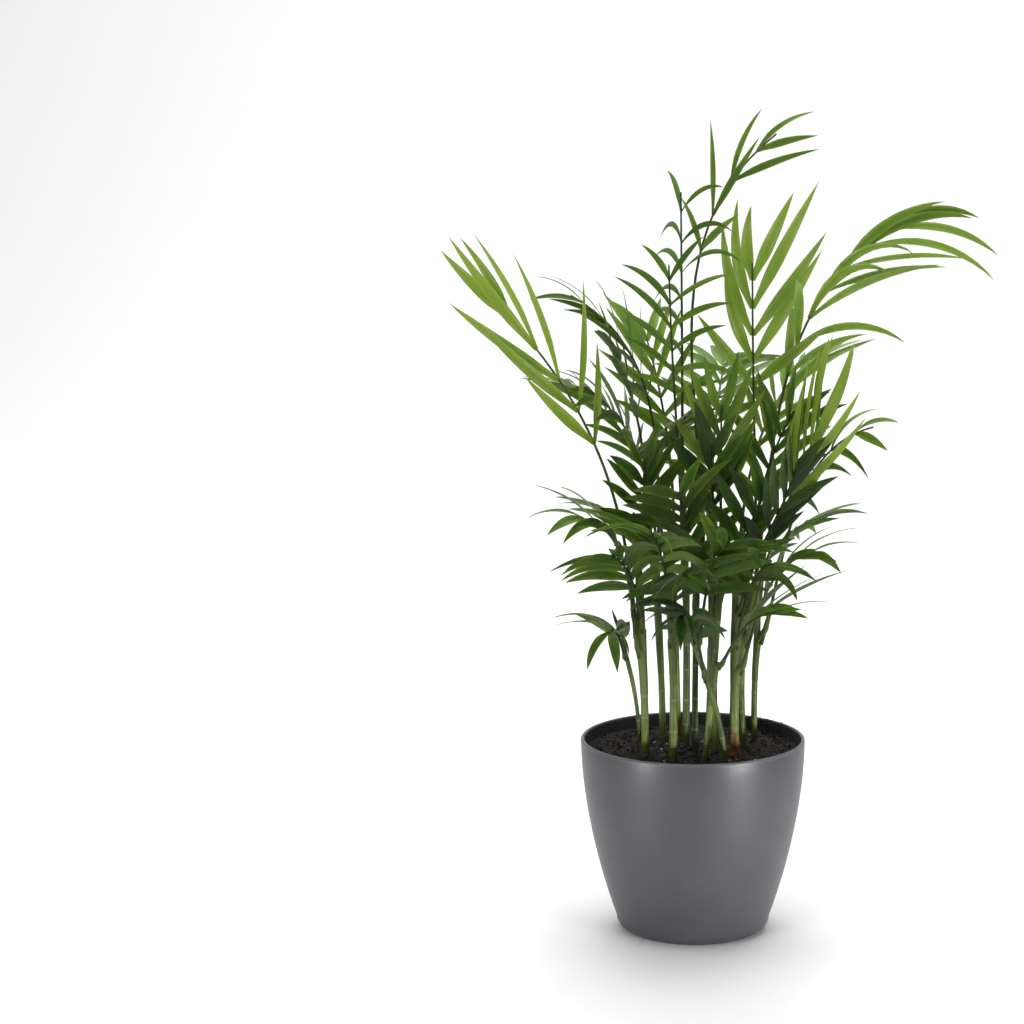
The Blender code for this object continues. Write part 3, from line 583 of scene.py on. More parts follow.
class PalmPotSettings(bpy.types.PropertyGroup):
    plastic: colour("Plastic", "Colour of the moulded plastic", (0.041, 0.040, 0.046))
    # This colour serves both the real handling patches and the painted highlight on the lip.
    handling_and_lip_highlight: colour("Rubbed", "Colour of the lip and where hands rub the side", (0.100, 0.098, 0.106))
    roughness: share("Roughness", "How matt the plastic is", 0.40)
    moulding: length("Grain", "Size of the moulded grain", 0.0006)


class PalmSoilSettings(bpy.types.PropertyGroup):
    peat: colour("Peat", "Colour of moist potting mix", (0.0045, 0.0034, 0.0024))
    fibre: colour("Fibre", "Colour of the coir and bark in it", (0.036, 0.021, 0.011))
    clod: length("Lump", "Size of the larger lumps", 0.0042)
    crumbs: bpy.props.IntProperty(name="Crumbs", description="Number of loose crumbs", default=900)
    pearls: bpy.props.IntProperty(name="Perlite", description="Number of white grains", default=26)


class PalmPlantSettings(bpy.types.PropertyGroup):
    # The lightest leaf colour also holds painted back light and the darkest holds painted shade, besides
    # the real difference of age.
    young_and_backlit: colour("Young leaf", "Colour of the lightest leaflets", (0.340, 0.500, 0.066))
    middle: colour("Leaf", "Colour of an ordinary leaflet", (0.078, 0.165, 0.013))
    old: colour("Old leaf", "Colour of the darkest leaflets", (0.010, 0.028, 0.004))
    cane: colour("Cane", "Colour of the canes", (0.190, 0.245, 0.045))
    shaded_cane: colour("Shaded cane", "Colour of a cane's darker side", (0.030, 0.056, 0.010))
    dry: colour("Dry sheath", "Colour of an old dry sheath", (0.260, 0.110, 0.020))
    gloss: share("Leaf roughness", "How matt a leaflet is", 0.42)


class PalmStageSettings(bpy.types.PropertyGroup):
    distance: length("Distance", "From the pot's axis to the camera, along the floor", 2.0)
    height: length("Height", "Camera above the floor", 0.6482)
    aim: length("Aim", "Height on the pot's axis that the camera looks at", 0.3402)
    turn: bpy.props.FloatProperty(
        name="Turn", description="How far the camera turns to the left of the pot's axis",
        subtype="ANGLE", default=math.radians(4.065),
    )
    lens: bpy.props.FloatProperty(
        name="Lens", description="Focal length in millimetres", subtype="DISTANCE_CAMERA",
        default=89.3,
    )


# ---- Building by operators.


def deselect():
    for thing in bpy.context.view_layer.objects:
        thing.select_set(False)


def only(thing):
    """Selects one object and makes it active."""
    deselect()
    thing.select_set(True)
    bpy.context.view_layer.objects.active = thing
    return thing


def added(name):
    """The object that an operator has just added, renamed."""
    made = bpy.context.active_object
    made.name = name
    made.data.name = name
    return made


def joined(name, things):
    deselect()
    for thing in things:
        thing.select_set(True)
    bpy.context.view_layer.objects.active = things[0]
    if len(things) > 1:
        bpy.ops.object.join()
    return added(name)


def applied(thing, kind, **settings):
    """Adds a modifier to an object and applies it."""
    only(thing)
    modifier = thing.modifiers.new(kind.lower(), kind)
    for key, value in settings.items():
        setattr(modifier, key, value)
    bpy.ops.object.modifier_apply(modifier=modifier.name)
    return thing


def smoothed(thing, degrees=40):
    only(thing)
    bpy.ops.object.shade_smooth_by_angle(angle=math.radians(degrees))
    return thing


def settled(thing, slot, nodes, *finishes):
    """Puts a finished piece at the origin with its materials, on its body and for its CAD nodes."""
    only(thing)
    bpy.ops.object.transform_apply(location=True, rotation=True, scale=True)
    thing.data.materials.clear()
    for finish in finishes:
        thing.data.materials.append(finish)
    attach(thing, BODY)
    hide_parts(*nodes)
    return thing


def put_value(mesh, name, values):
    """Stores one number for each point of a mesh."""
    field = mesh.attributes.new(name, "FLOAT", "POINT")
    field.data.foreach_set("value", np.asarray(values, np.float32))


# ---- Shader nodes.


def wired(tree, kind, settings=(), **inputs):
    """A node with its settings and its inputs, by name; an input is a value or a socket."""
    made = tree.nodes.new("ShaderNode" + kind)
    for key, value in dict(settings).items():
        setattr(made, key, value)
    for key, value in inputs.items():
        feed(tree, made.inputs[key.replace("_", " ")], value)
    return made


def feed(tree, socket, value):
    if isinstance(value, bpy.types.NodeSocket):
        tree.links.new(value, socket)
    elif socket.type == "RGBA":
        socket.default_value = (*value[:3], 1)
    else:
        socket.default_value = value


def blended(tree, amount, low, high):
    """A colour between two, by a factor."""
    made = tree.nodes.new("ShaderNodeMix")
    made.data_type = "RGBA"
    for index, value in ((0, amount), (6, low), (7, high)):
        feed(tree, made.inputs[index], value)
    return made.outputs[2]


def ranged(tree, value, low, high, to_low=0.0, to_high=1.0):
    made = wired(tree, "MapRange", Value=value, From_Min=low, From_Max=high)
    made.inputs["To Min"].default_value = to_low
    made.inputs["To Max"].default_value = to_high
    return made.outputs[0]


def maths(tree, operation, first, second=0.0):
    """One step of arithmetic on two numbers, each a value or a socket."""
    made = wired(tree, "Math", {"operation": operation})
    feed(tree, made.inputs[0], first)
    feed(tree, made.inputs[1], second)
    return made.outputs[0]


def noise(tree, where, scale, detail=3.0, roughness=0.5):
    made = wired(tree, "TexNoise", Vector=where, Scale=scale, Detail=detail, Roughness=roughness)
    return made.outputs[0]


def stretched(tree, where, scale):
    """Coordinates with each axis scaled."""
    return wired(tree, "Mapping", Vector=where, Scale=scale).outputs[0]


def object_place(tree):
    return wired(tree, "TexCoord").outputs["Object"]


def new_group(name, ins, outs):
    """An empty node group with its sockets, and its input and output nodes."""
    group = bpy.data.node_groups.new(name, "ShaderNodeTree")
    for title, kind, value in ins:
        socket = group.interface.new_socket(title, in_out="INPUT", socket_type="NodeSocket" + kind)
        if value is not None:
            socket.default_value = value
    for title, kind in outs:
        group.interface.new_socket(title, in_out="OUTPUT", socket_type="NodeSocket" + kind)
    return group, group.nodes.new("NodeGroupInput"), group.nodes.new("NodeGroupOutput")


def kept_in(store, name=None):
    """Runs a maker once for the thing of that name in one of Blender's stores, and returns the thing."""

    def keep(maker):
        def found():
            title = name or maker.__name__
            if title not in getattr(bpy.data, store):
                maker()
            return getattr(bpy.data, store)[title]

        return found

    return keep


@kept_in("node_groups")
def surface_grain():
    """Fine grain all over a surface: a mask and the bumped normal."""
    ins = (("Place", "Vector", None), ("Scale", "Float", 400.0), ("Depth", "Float", 0.0001))
    group, given, out = new_group("surface_grain", ins, (("Mask", "Float"), ("Normal", "Vector")))
    fine = noise(group, given.outputs["Place"], given.outputs["Scale"], 4.0, 0.6)
    bump = wired(group, "Bump", Height=fine, Distance=given.outputs["Depth"])
    feed(group, out.inputs["Mask"], fine)
    feed(group, out.inputs["Normal"], bump.outputs[0])


@kept_in("node_groups")
def soft_patches():
    """Broad soft patches, for tone that wanders over a surface."""
    ins = (("Place", "Vector", None), ("Scale", "Float", 20.0))
    group, given, out = new_group("soft_patches", ins, (("Mask", "Float"),))
    broad = noise(group, given.outputs["Place"], given.outputs["Scale"], 2.0, 0.5)
    feed(group, out.inputs["Mask"], ranged(group, broad, 0.32, 0.68))


@kept_in("node_groups")
def lengthwise_fibres():
    """Fine fibres along V of a piece's own UV map: a mask and the bumped normal."""
    ins = (
        ("UV", "Vector", None), ("Across", "Float", 14.0), ("Along", "Float", 1.2),
        ("Depth", "Float", 0.0001),
    )
    outs = (("Mask", "Float"), ("Normal", "Vector"))
    group, given, out = new_group("lengthwise_fibres", ins, outs)
    scale = wired(group, "CombineXYZ", X=given.outputs["Across"], Y=given.outputs["Along"], Z=1.0)
    lines = wired(group, "VectorMath", {"operation": "MULTIPLY"})
    feed(group, lines.inputs[0], given.outputs["UV"])
    feed(group, lines.inputs[1], scale.outputs[0])
    streaks = noise(group, lines.outputs[0], 1.0, 3.0, 0.65)
    bump = wired(group, "Bump", Height=streaks, Distance=given.outputs["Depth"])
    feed(group, out.inputs["Mask"], ranged(group, streaks, 0.3, 0.7))
    feed(group, out.inputs["Normal"], bump.outputs[0])


def placed(tree, group, **inputs):
    made = tree.nodes.new("ShaderNodeGroup")
    made.node_tree = group
    for key, value in inputs.items():
        feed(tree, made.inputs[key], value)
    return made


def grained(tree, place, scale, depth):
    return placed(tree, surface_grain(), Place=place, Scale=scale, Depth=depth)


def patched(tree, place, scale):
    """The mask of broad soft patches."""
    return placed(tree, soft_patches(), Place=place, Scale=scale).outputs["Mask"]


def attribute(tree, name):
    return wired(tree, "Attribute", {"attribute_name": name}).outputs["Fac"]


def dressed(tree, shader, **inputs):
    """Feeds or sets the shader's own sockets, by name with _ for each space."""
    for key, value in inputs.items():
        feed(tree, shader.inputs[key.replace("_", " ")], value)


def kept(maker):
    """Makes a material once, named after its maker; later calls return the same one."""

    @kept_in("materials", maker.__name__)
    def made():
        new = bpy.data.materials.new(maker.__name__)
        new.use_nodes = True
        maker(new.node_tree, new.node_tree.nodes["Principled BSDF"])

    return made


@kept
def moulded_plastic(tree, shader):
    """Matt moulded plastic: fine grain, faint patches of handling and a painted highlight that lightens the
    lip.
    """
    look = bpy.context.scene.palm_pot
    where = object_place(tree)
    grain = grained(tree, where, 0.5 / look.moulding, 0.000006)
    patches = patched(tree, where, 26.0)
    height = wired(tree, "SeparateXYZ", Vector=where).outputs["Z"]
    # Painted highlight: the lip is mixed towards the lighter colour as if it caught the light.
    lip = ranged(tree, height, POT_HEIGHT - 0.0035, POT_HEIGHT - 0.0005, 0.0, 0.75)
    hands = maths(tree, "MULTIPLY", patches, 0.10)
    handling_and_lip_highlight = maths(tree, "MAXIMUM", lip, hands)
    feed(tree, shader.inputs["Base Color"], blended(tree, handling_and_lip_highlight, look.plastic, look.handling_and_lip_highlight))
    low, high = look.roughness - 0.05, look.roughness + 0.08
    dressed(
        tree, shader,
        Roughness=ranged(tree, grain.outputs["Mask"], 0.3, 0.7, low, high),
        Normal=grain.outputs["Normal"], Specular_IOR_Level=0.38,
    )


@kept
def soil_mix(tree, shader):
    """Moist peat with paler fibres."""
    look = bpy.context.scene.palm_soil
    where = object_place(tree)
    grain = grained(tree, where, 620.0, 0.0006)
    patches = patched(tree, where, 170.0)
    fibres = ranged(tree, grain.outputs["Mask"], 0.54, 0.74)
    amount = maths(tree, "MULTIPLY", fibres, patches)
    dressed(
        tree, shader,
        Base_Color=blended(tree, amount, look.peat, look.fibre),
        Roughness=ranged(tree, patches, 0, 1, 0.96, 0.78), Normal=grain.outputs["Normal"],
        Specular_IOR_Level=0.25,
    )


@kept
def crumb_mix(tree, shader):
    """Loose crumbs, each of its own tone from dark peat to bark."""
    look = bpy.context.scene.palm_soil
    where = object_place(tree)
    grain = grained(tree, where, 1500.0, 0.0002)
    tone = attribute(tree, "tone")
    dressed(
        tree, shader,
        Base_Color=blended(tree, tone, look.peat, look.fibre), Normal=grain.outputs["Normal"],
        Roughness=0.92, Specular_IOR_Level=0.25,
    )


@kept
def perlite(tree, shader):
    """Pale puffed grains, a little stained by the soil."""
    where = object_place(tree)
    patches = patched(tree, where, 420.0)
    grain = grained(tree, where, 1800.0, 0.0002)
    dressed(
        tree, shader,
        Base_Color=blended(tree, patches, PERLITE_CLEAN, PERLITE_STAINED), Normal=grain.outputs["Normal"],
        Roughness=0.9,
    )


@kept
def cane_skin(tree, shader):
    """Smooth green cane: long pale and dark streaks, pale rings, earth stain at the foot."""
    look = bpy.context.scene.palm_plant
    where = object_place(tree)
    uv = wired(tree, "UVMap").outputs[0]
    fibres = placed(tree, lengthwise_fibres(), UV=uv, Across=11.0, Along=5.0, Depth=0.00012)
    patches = patched(tree, stretched(tree, where, (1, 1, 0.25)), 130.0)
    amount = maths(tree, "MULTIPLY", fibres.outputs["Mask"], 0.55)
    amount = maths(tree, "ADD", amount, maths(tree, "MULTIPLY", patches, 0.4))
    tone = attribute(tree, "tone")
    amount = maths(tree, "ADD", maths(tree, "MULTIPLY", amount, 0.9), tone)
    skin = blended(tree, amount, look.cane, look.shaded_cane)
    ring = attribute(tree, "ring")
    skin = blended(tree, maths(tree, "MULTIPLY", ring, 0.55), skin, CANE_RING)
    height = wired(tree, "SeparateXYZ", Vector=where).outputs["Z"]
    stain = ranged(tree, height, SOIL_LEVEL + 0.004, SOIL_LEVEL + 0.016, 0.55, 0.0)
    dressed(
        tree, shader,
        Base_Color=blended(tree, stain, skin, EARTH_STAIN),
        Roughness=ranged(tree, fibres.outputs["Mask"], 0, 1, 0.38, 0.52), Normal=fibres.outputs["Normal"],
        Specular_IOR_Level=0.28,
    )


@kept
def stalk_skin(tree, shader):
    """Stalks and sheaths: green at the sheath, darker and smoother up the stalk."""
    look = bpy.context.scene.palm_plant
    where = object_place(tree)
    tone = attribute(tree, "tone")
    patches = patched(tree, stretched(tree, where, (1, 1, 0.2)), 160.0)
    long = stretched(tree, where, (1, 1, 0.06))
    grain = grained(tree, long, 1400.0, 0.0001)
    dark = blended(tree, patches, STALK_DARK, STALK_DARKEST)
    light = blended(tree, patches, look.cane, STALK_GREEN)
    dressed(
        tree, shader,
        Base_Color=blended(tree, tone, dark, light), Normal=grain.outputs["Normal"], Roughness=0.46,
        Specular_IOR_Level=0.25,
    )


@kept
def dry_sheath(tree, shader):
    """Papery dry sheath, orange brown with dark streaks."""
    look = bpy.context.scene.palm_plant
    where = object_place(tree)
    streaks = patched(tree, stretched(tree, where, (1, 1, 0.12)), 520.0)
    long = stretched(tree, where, (1, 1, 0.1))
    grain = grained(tree, long, 1500.0, 0.0003)
    brown = blended(tree, streaks, look.dry, SHEATH_STREAK)
    dressed(tree, shader, Base_Color=brown, Normal=grain.outputs["Normal"], Roughness=0.72)


@kept
def leaf_skin(tree, shader):
    """A leaflet: colour by age and by painted light, with painted shade on the dark fronds and painted back
    light on the light ones, a pale midrib and fine lengthwise veins.
    """
    look = bpy.context.scene.palm_plant
    where = object_place(tree)
    uv = wired(tree, "UVMap").outputs[0]
    fibres = placed(tree, lengthwise_fibres(), UV=uv, Across=20.0, Along=1.3, Depth=0.00010)
    patches = patched(tree, where, 38.0)
    tone = attribute(tree, "tone")
    wander = ranged(tree, patches, 0, 1, -0.07, 0.07)
    tone = maths(tree, "ADD", tone, wander)
    # Tone picks the leaf colour: its dark end is partly painted shade, and its light end is partly painted
    # back light.
    skin = blended(tree, ranged(tree, tone, 0.0, 0.5), look.old, look.middle)
    skin = blended(tree, ranged(tree, tone, 0.5, 1.0), skin, look.young_and_backlit)
    veins = maths(tree, "MULTIPLY", fibres.outputs["Mask"], 0.22)
    deep = wired(tree, "Mix", {"data_type": "RGBA", "blend_type": "MULTIPLY"})
    for index, value in ((0, veins), (6, skin), (7, VEIN_SHADE)):
        feed(tree, deep.inputs[index], value)
    across = wired(tree, "SeparateXYZ", Vector=uv).outputs["X"]
    off = maths(tree, "ABSOLUTE", maths(tree, "SUBTRACT", across, 0.5))
    midrib = ranged(tree, off, 0.03, 0.0, 0.0, 0.16)
    ribbed = blended(tree, midrib, deep.outputs[2], MIDRIB_GREEN)
    feed(tree, shader.inputs["Base Color"], ribbed)
    low, high = look.gloss - 0.05, look.gloss + 0.12
    dressed(
        tree, shader,
        Roughness=ranged(tree, fibres.outputs["Mask"], 0, 1, low, high), Normal=fibres.outputs["Normal"],
        Specular_IOR_Level=0.24, Subsurface_Weight=0.10, Subsurface_Radius=(0.6, 1.0, 0.2),
        Subsurface_Scale=0.0012,
    )


@kept
def paper_white(tree, shader):
    """The stage's matt white."""
    dressed(tree, shader, Base_Color=PAPER, Roughness=0.9, Specular_IOR_Level=0.1)


# ---- Pot.


def ring_at(radius, height):
    """Moves the selected ring of points to a radius and a height."""
    mesh = bpy.context.edit_object.data
    bpy.context.edit_object.update_from_editmode()
    points = [v.co for v in mesh.vertices if v.select]
    now = max(math.hypot(p.x, p.y) for p in points)
    bpy.ops.transform.translate(value=(0, 0, height - points[0].z))
    bpy.ops.transform.resize(value=(radius / now, radius / now, 1), center_override=(0, 0, height))


def pot_profile():
    """Radius and height of each ring: under the foot, up the side, round the lip, down inside."""
    foot_side = side_radius(POT_FOOT_HEIGHT)
    flat = foot_side - POT_FOOT_ROUND
    rings = [(flat * 0.5, 0), (flat * 0.93, 0), (flat, 0)]
    for step in range(1, FOOT_STEPS + 1):
        a = math.radians(90 * step / FOOT_STEPS)
        rings.append((flat + POT_FOOT_ROUND * math.sin(a), POT_FOOT_HEIGHT * (1 - math.cos(a))))
    lip = POT_WALL / 2
    top = POT_HEIGHT - lip
    for step in range(1, SIDE_STEPS + 1):
        z = POT_FOOT_HEIGHT + (top - POT_FOOT_HEIGHT) * step / SIDE_STEPS
        rings.append((side_radius(z), z))
    for step in range(1, LIP_STEPS):
        a = math.radians(180 * step / LIP_STEPS)
        rings.append((POT_RIM_RADIUS - lip + lip * math.cos(a), top + lip * math.sin(a)))
    for step in range(INSIDE_STEPS + 1):
        z = top + (POT_FOOT_HEIGHT - top) * step / INSIDE_STEPS
        rings.append((inner_radius(z), z))
    return rings + [(inner_radius(POT_FOOT_HEIGHT) - POT_FOOT_HEIGHT + POT_FLOOR, POT_FLOOR)]


def build_pot():
    deselect()
    rings = pot_profile()
    bpy.ops.mesh.primitive_circle_add(vertices=POT_SEGMENTS, radius=rings[0][0], fill_type="NGON")
    pot = added("cover_pot")
    bpy.ops.object.mode_set(mode="EDIT")
    bpy.ops.mesh.select_mode(type="EDGE")
    bpy.ops.mesh.select_all(action="SELECT")
    for radius, height in rings[1:]:
        bpy.ops.mesh.extrude_edges_move()
        ring_at(radius, height)
    bpy.ops.mesh.edge_face_add()
    bpy.ops.mesh.select_all(action="SELECT")
    bpy.ops.mesh.normals_make_consistent(inside=False)
    bpy.ops.object.mode_set(mode="OBJECT")
    smoothed(pot, 50)
    return settled(pot, "pot_plastic", ["pot"], moulded_plastic())


class PALM_OT_pot(bpy.types.Operator):
    """Turns the round cover pot, ring by ring, with its foot and its lip"""

    bl_idname = "palm.pot"
    bl_label = "Cover pot"

    def execute(self, context):
        build_pot()
        return {"FINISHED"}


# ---- Soil.


def soil_bed():
    """The bed of soil: a disc, cut fine, heaved into lumps and turned down at its edge."""
    radius = inner_radius(SOIL_LEVEL) - GAP
    deselect()
    bpy.ops.mesh.primitive_grid_add(
        x_subdivisions=SOIL_CUTS, y_subdivisions=SOIL_CUTS, size=2 * radius, location=(0, 0, 0)
    )
    bed = added("soil_bed")
    shape = np.array([v.co for v in bed.data.vertices])
    square = np.abs(shape[:, :2]).max(1)
    round_ = np.hypot(shape[:, 0], shape[:, 1])
    shape[:, :2] *= (square / np.maximum(round_, 1e-9))[:, None]
    shape[:, 2] = [soil_height(x, y) for x, y in shape[:, :2]]
    bed.data.vertices.foreach_set("co", shape.ravel())
    bpy.ops.object.mode_set(mode="EDIT")
    bpy.ops.mesh.select_all(action="DESELECT")
    bpy.ops.mesh.select_mode(type="EDGE")
    bpy.ops.mesh.select_non_manifold()
    for drop in SOIL_EDGE_DROPS:
        bpy.ops.mesh.extrude_edges_move(TRANSFORM_OT_translate={"value": (0, 0, -drop)})
    bpy.ops.mesh.edge_face_add()
    bpy.ops.object.mode_set(mode="OBJECT")
    return bed


def heaved(bed, size, strength, edge):
    """Displaces the soil's top by a cloud texture, less towards the edge."""
    top = bed.vertex_groups.new(name=f"top_{size:.4f}")
    limit = inner_radius(SOIL_LEVEL)
    for v in bed.data.vertices:
        r = math.hypot(v.co.x, v.co.y) / limit
        if v.co.z > SOIL_LEVEL - 0.002:
            top.add([v.index], min(1, (1 - r) / edge), "REPLACE")
    cloud = bpy.data.textures.new("soil_lumps", "CLOUDS")
    cloud.noise_scale = size
    cloud.noise_depth = 3
    applied(
        bed, "DISPLACE", texture=cloud, strength=strength, mid_level=0.5, direction="Z",
        vertex_group=top.name, texture_coords="GLOBAL",
    )


def lumps_at(name, count, draw, size, places):
    """Small rough lumps, each a copy of one worn ball, turned and sized at random."""
    deselect()
    bpy.ops.mesh.primitive_ico_sphere_add(subdivisions=1, radius=1)
    ball = added(name)
    rough = np.array([v.co for v in ball.data.vertices])
    rough *= [[draw.uniform(0.7, 1.2)] for _ in rough]
    faces = np.array([tuple(f.vertices) for f in ball.data.polygons])
    points, tones = [], []
    for k in range(count):
        turn = Matrix.Rotation(draw.uniform(0, math.tau), 3, Vector((draw.random(), draw.random(), 1)))
        scale = size * draw.uniform(0.45, 1.0) ** 1.5
        flat = np.array([draw.uniform(0.7, 1.3), draw.uniform(0.6, 1.0), draw.uniform(0.45, 0.9)])
        points.append((rough * flat * scale) @ np.array(turn).T + places(scale))
        tones.append(np.full(len(rough), draw.random() ** 3))
    mesh = bpy.data.meshes.new(name)
    every = np.concatenate([faces + len(rough) * k for k in range(count)])
    mesh.from_pydata(np.concatenate(points).tolist(), [], every.tolist())
    put_value(mesh, "tone", np.concatenate(tones))
    ball.data = mesh
    return ball


def on_soil(bed, draw):
    """A rule that finds a place on the soil's top for a lump of a size."""
    tree = BVHTree.FromObject(bed, bpy.context.evaluated_depsgraph_get())
    limit = inner_radius(SOIL_LEVEL)

    def place(size):
        r = (limit - size * 1.2) * math.sqrt(draw.random())
        a = draw.uniform(0, math.tau)
        x, y = r * math.cos(a), r * math.sin(a)
        top = tree.ray_cast(Vector((x, y, POT_HEIGHT)), Vector((0, 0, -1)))[0]
        return np.array((x, y, top.z + size * 0.25))

    return place


def on_rim(draw):
    """A rule that heaps crumbs against the lip at the back right, and on it."""
    wall = POT_RIM_RADIUS - POT_WALL

    def place(size):
        a = math.radians(draw.gauss(50, 9))
        climb = draw.random() ** 1.5
        r = wall - 0.011 * (1 - climb) + 0.001 * climb
        x, y = r * math.cos(a), r * math.sin(a)
        z = SOIL_LEVEL + (POT_HEIGHT - SOIL_LEVEL + 0.0022) * climb * draw.uniform(0.6, 1)
        return np.array((x, y, z))

    return place


def build_soil():
    look = bpy.context.scene.palm_soil
    draw = random.Random("soil")
    bed = soil_bed()
    heaved(bed, look.clod * 2.4, 0.0042, 0.12)
    heaved(bed, look.clod * 0.5, 0.0026, 0.05)
    smoothed(bed, 70)
    place = on_soil(bed, draw)
    crumbs = lumps_at("soil_crumbs", look.crumbs, draw, look.clod * 0.42, place)
    heap = lumps_at("soil_on_rim", RIM_CRUMBS, draw, look.clod * 0.30, on_rim(draw))
    pearls = lumps_at("soil_perlite", look.pearls, draw, look.clod * 0.38, place)
    settled(bed, "soil", ["soil"], soil_mix())
    for piece, finish in ((crumbs, crumb_mix), (heap, crumb_mix), (pearls, perlite)):
        settled(smoothed(piece, 30), "soil", ["soil"], finish())


class PALM_OT_soil(bpy.types.Operator):
    """Heaves the bed of soil and scatters its crumbs and white grains"""

    bl_idname = "palm.soil"
    bl_label = "Soil"

    def execute(self, context):
        build_soil()
        return {"FINISHED"}


# ---- Canes.


def swept(name, points, radii):
    """A round closed tube through points, made from a bevelled curve."""
    deselect()
    bpy.ops.curve.primitive_bezier_curve_add(location=(0, 0, 0))
    made = added(name)
    curve = made.data
    curve.splines.clear()
    line = curve.splines.new("POLY")
    line.points.add(len(points) - 1)
    for knot, point, radius in zip(line.points, points, radii):
        knot.co = (*point, 1)
        knot.radius = radius * 1000
    curve.dimensions = "3D"
    curve.bevel_depth = 0.001
    curve.bevel_resolution = TUBE_BEVEL
    curve.use_fill_caps = True
    only(made)
    bpy.ops.object.convert(target="MESH")
    return added(name)


def tube_uv(mesh, axis_of, scale):
    """UV of a tube: U is the way round, V the height in metres times scale."""
    uv = mesh.uv_layers.active or mesh.uv_layers.new(name="UVMap")
    for loop in mesh.loops:
        p = mesh.vertices[loop.vertex_index].co
        middle = axis_of(p.z)
        angle = math.atan2(p.y - middle[1], p.x - middle[0])
        uv.data[loop.index].uv = (angle / math.tau, p.z * scale)


def cane_stations(cane, draw):
    """Heights along a cane with, at each, its girth as a share of the plain one and 1 on a ring."""
    low = soil_height(*cane.foot) - CANE_DEPTH
    top = SOIL_LEVEL + cane.height
    stations = [(low, 1.05, 0)]
    z = low + draw.uniform(0.012, 0.020)
    while z < top - 0.012:
        stations += [(z - 0.0012, 1.0, 0), (z, 1.055, 1), (z + 0.0014, 1.0, 0)]
        gap = draw.uniform(*RING_GAP)
        stations.append((z + gap / 2, 0.985, 0))
        z += gap
    return [s for s in stations if s[0] < top - 0.006] + [(top - 0.005, 0.8, 0), (top, 0.35, 0)]


def build_canes():
    draw = random.Random("canes")
    for number, cane in enumerate(CANES, 1):
        points, radii, rings = [], [], []
        for z, girth, ring in cane_stations(cane, draw):
            share = cane_share(cane, z)
            points.append(cane_point(cane, share))
            radii.append(cane_radius(cane, share) * girth)
            rings.append((z, ring))
        made = swept(f"cane_{number:02d}_skin", points, radii)
        tube_uv(made.data, lambda z, c=cane: cane_point(c, cane_share(c, z)), 10)
        heights = np.array([z for z, _ in rings])
        marks = np.array([mark for _, mark in rings])
        low = [np.abs(heights - v.co.z).argmin() for v in made.data.vertices]
        put_value(made.data, "ring", marks[low])
        put_value(made.data, "tone", [draw.uniform(-0.1, 0.6)] * len(low))
        settled(smoothed(made, 60), "cane", [f"cane_{number:02d}"], cane_skin())


class PALM_OT_canes(bpy.types.Operator):
    """Sweeps the ringed green canes up from the soil"""

    bl_idname = "palm.canes"
    bl_label = "Canes"

    def execute(self, context):
        build_canes()
        return {"FINISHED"}


# Dry sheaths: the cane, the height above the soil's edge where each starts and
# ends, and how far its mouth stands open, as a share of the cane's radius.
DRY_SHEATHS = (
    (8, -0.002, 0.024, 1.45),
    (11, -0.002, 0.012, 1.25),
    (13, -0.002, 0.016, 1.3),
)


def build_dry_sheaths():
    for number, (index, low, high, mouth) in enumerate(DRY_SHEATHS, 1):
        cane = CANES[index]
        points, radii = [], []
        for step in range(DRY_STEPS + 1):
            part = step / DRY_STEPS
            share = cane_share(cane, SOIL_LEVEL + low + (high - low) * part)
            points.append(cane_point(cane, share))
            radii.append(cane_radius(cane, share) * (DRY_FOOT + (mouth - DRY_FOOT) * part**2))
        made = swept(f"dry_sheath_{number}", points, radii)
        for v in made.data.vertices:
            part = (v.co.z - SOIL_LEVEL - low) / (high - low)
            angle = math.atan2(v.co.y - points[-1].y, v.co.x - points[-1].x)
            v.co.z -= max(0, part) ** 3 * (high - low) * (0.25 + 0.25 * math.sin(angle * 2 + index))
        settled(smoothed(made, 60), "cane", [f"cane_{index + 1:02d}"], dry_sheath())


class PALM_OT_dry_sheaths(bpy.types.Operator):
    """Wraps old papery sheaths round the feet of some canes"""

    bl_idname = "palm.dry_sheaths"
    bl_label = "Dry sheaths"

    def execute(self, context):
        build_dry_sheaths()
        return {"FINISHED"}


# ---- Fronds.


def grown_fronds():
    """Stalks and leaflets by frond, grown among the pot and the canes as in the CAD model."""
    neighbours = Neighbours()
    pot = frame["nodes"]["pot"].data
    corners = [v.co.copy() for v in pot.vertices]
    neighbours.add("pot", corners, [tuple(face.vertices) for face in pot.polygons])
    for cane in CANES:
        neighbours.add("canes", *cane_shape(cane))
    stalks = grow_stalks(neighbours)
    return stalks, grow_leaves(stalks, neighbours)


def sheath_line(frond, ends):
    """Points and radii of a sheath that clasps the cane and runs out into the stalk."""
    cane = CANES[frond.cane]
    root = ends[0]
    points, radii = [], []
    meets, follows = SHEATH_ALONG
    for step in range(SHEATH_STEPS + 1):
        part = step / SHEATH_STEPS
        if part < SHEATH_CLASP:
            z = root.z - SHEATH_BELOW + (SHEATH_BELOW + 0.004) * part / SHEATH_CLASP
            share = cane_share(cane, z)
            lean = (part / SHEATH_CLASP) ** 3 * 0.35
            points.append(cane_point(cane, share).lerp(Vector((root.x, root.y, z)), lean))
            radii.append(cane_radius(cane, share) * (1.05 + 0.22 * part / SHEATH_CLASP))
        else:
            up = (part - SHEATH_CLASP) / 0.4
            points.append(bezier(ends, meets + follows * up))
            radii.append(STALK_RADIUS * (2.0 - 0.9 * up))
    return points, radii


def stalk_line(ends):
    """Points and radii of a stalk, from its root to its tip."""
    root = STALK_RADIUS * STALK_SWELL
    steps = range(STALK_STEPS + 1)
    points = [bezier(ends, step / STALK_STEPS) for step in steps]
    return points, [root + (STALK_TIP_RADIUS - root) * step / STALK_STEPS for step in steps]


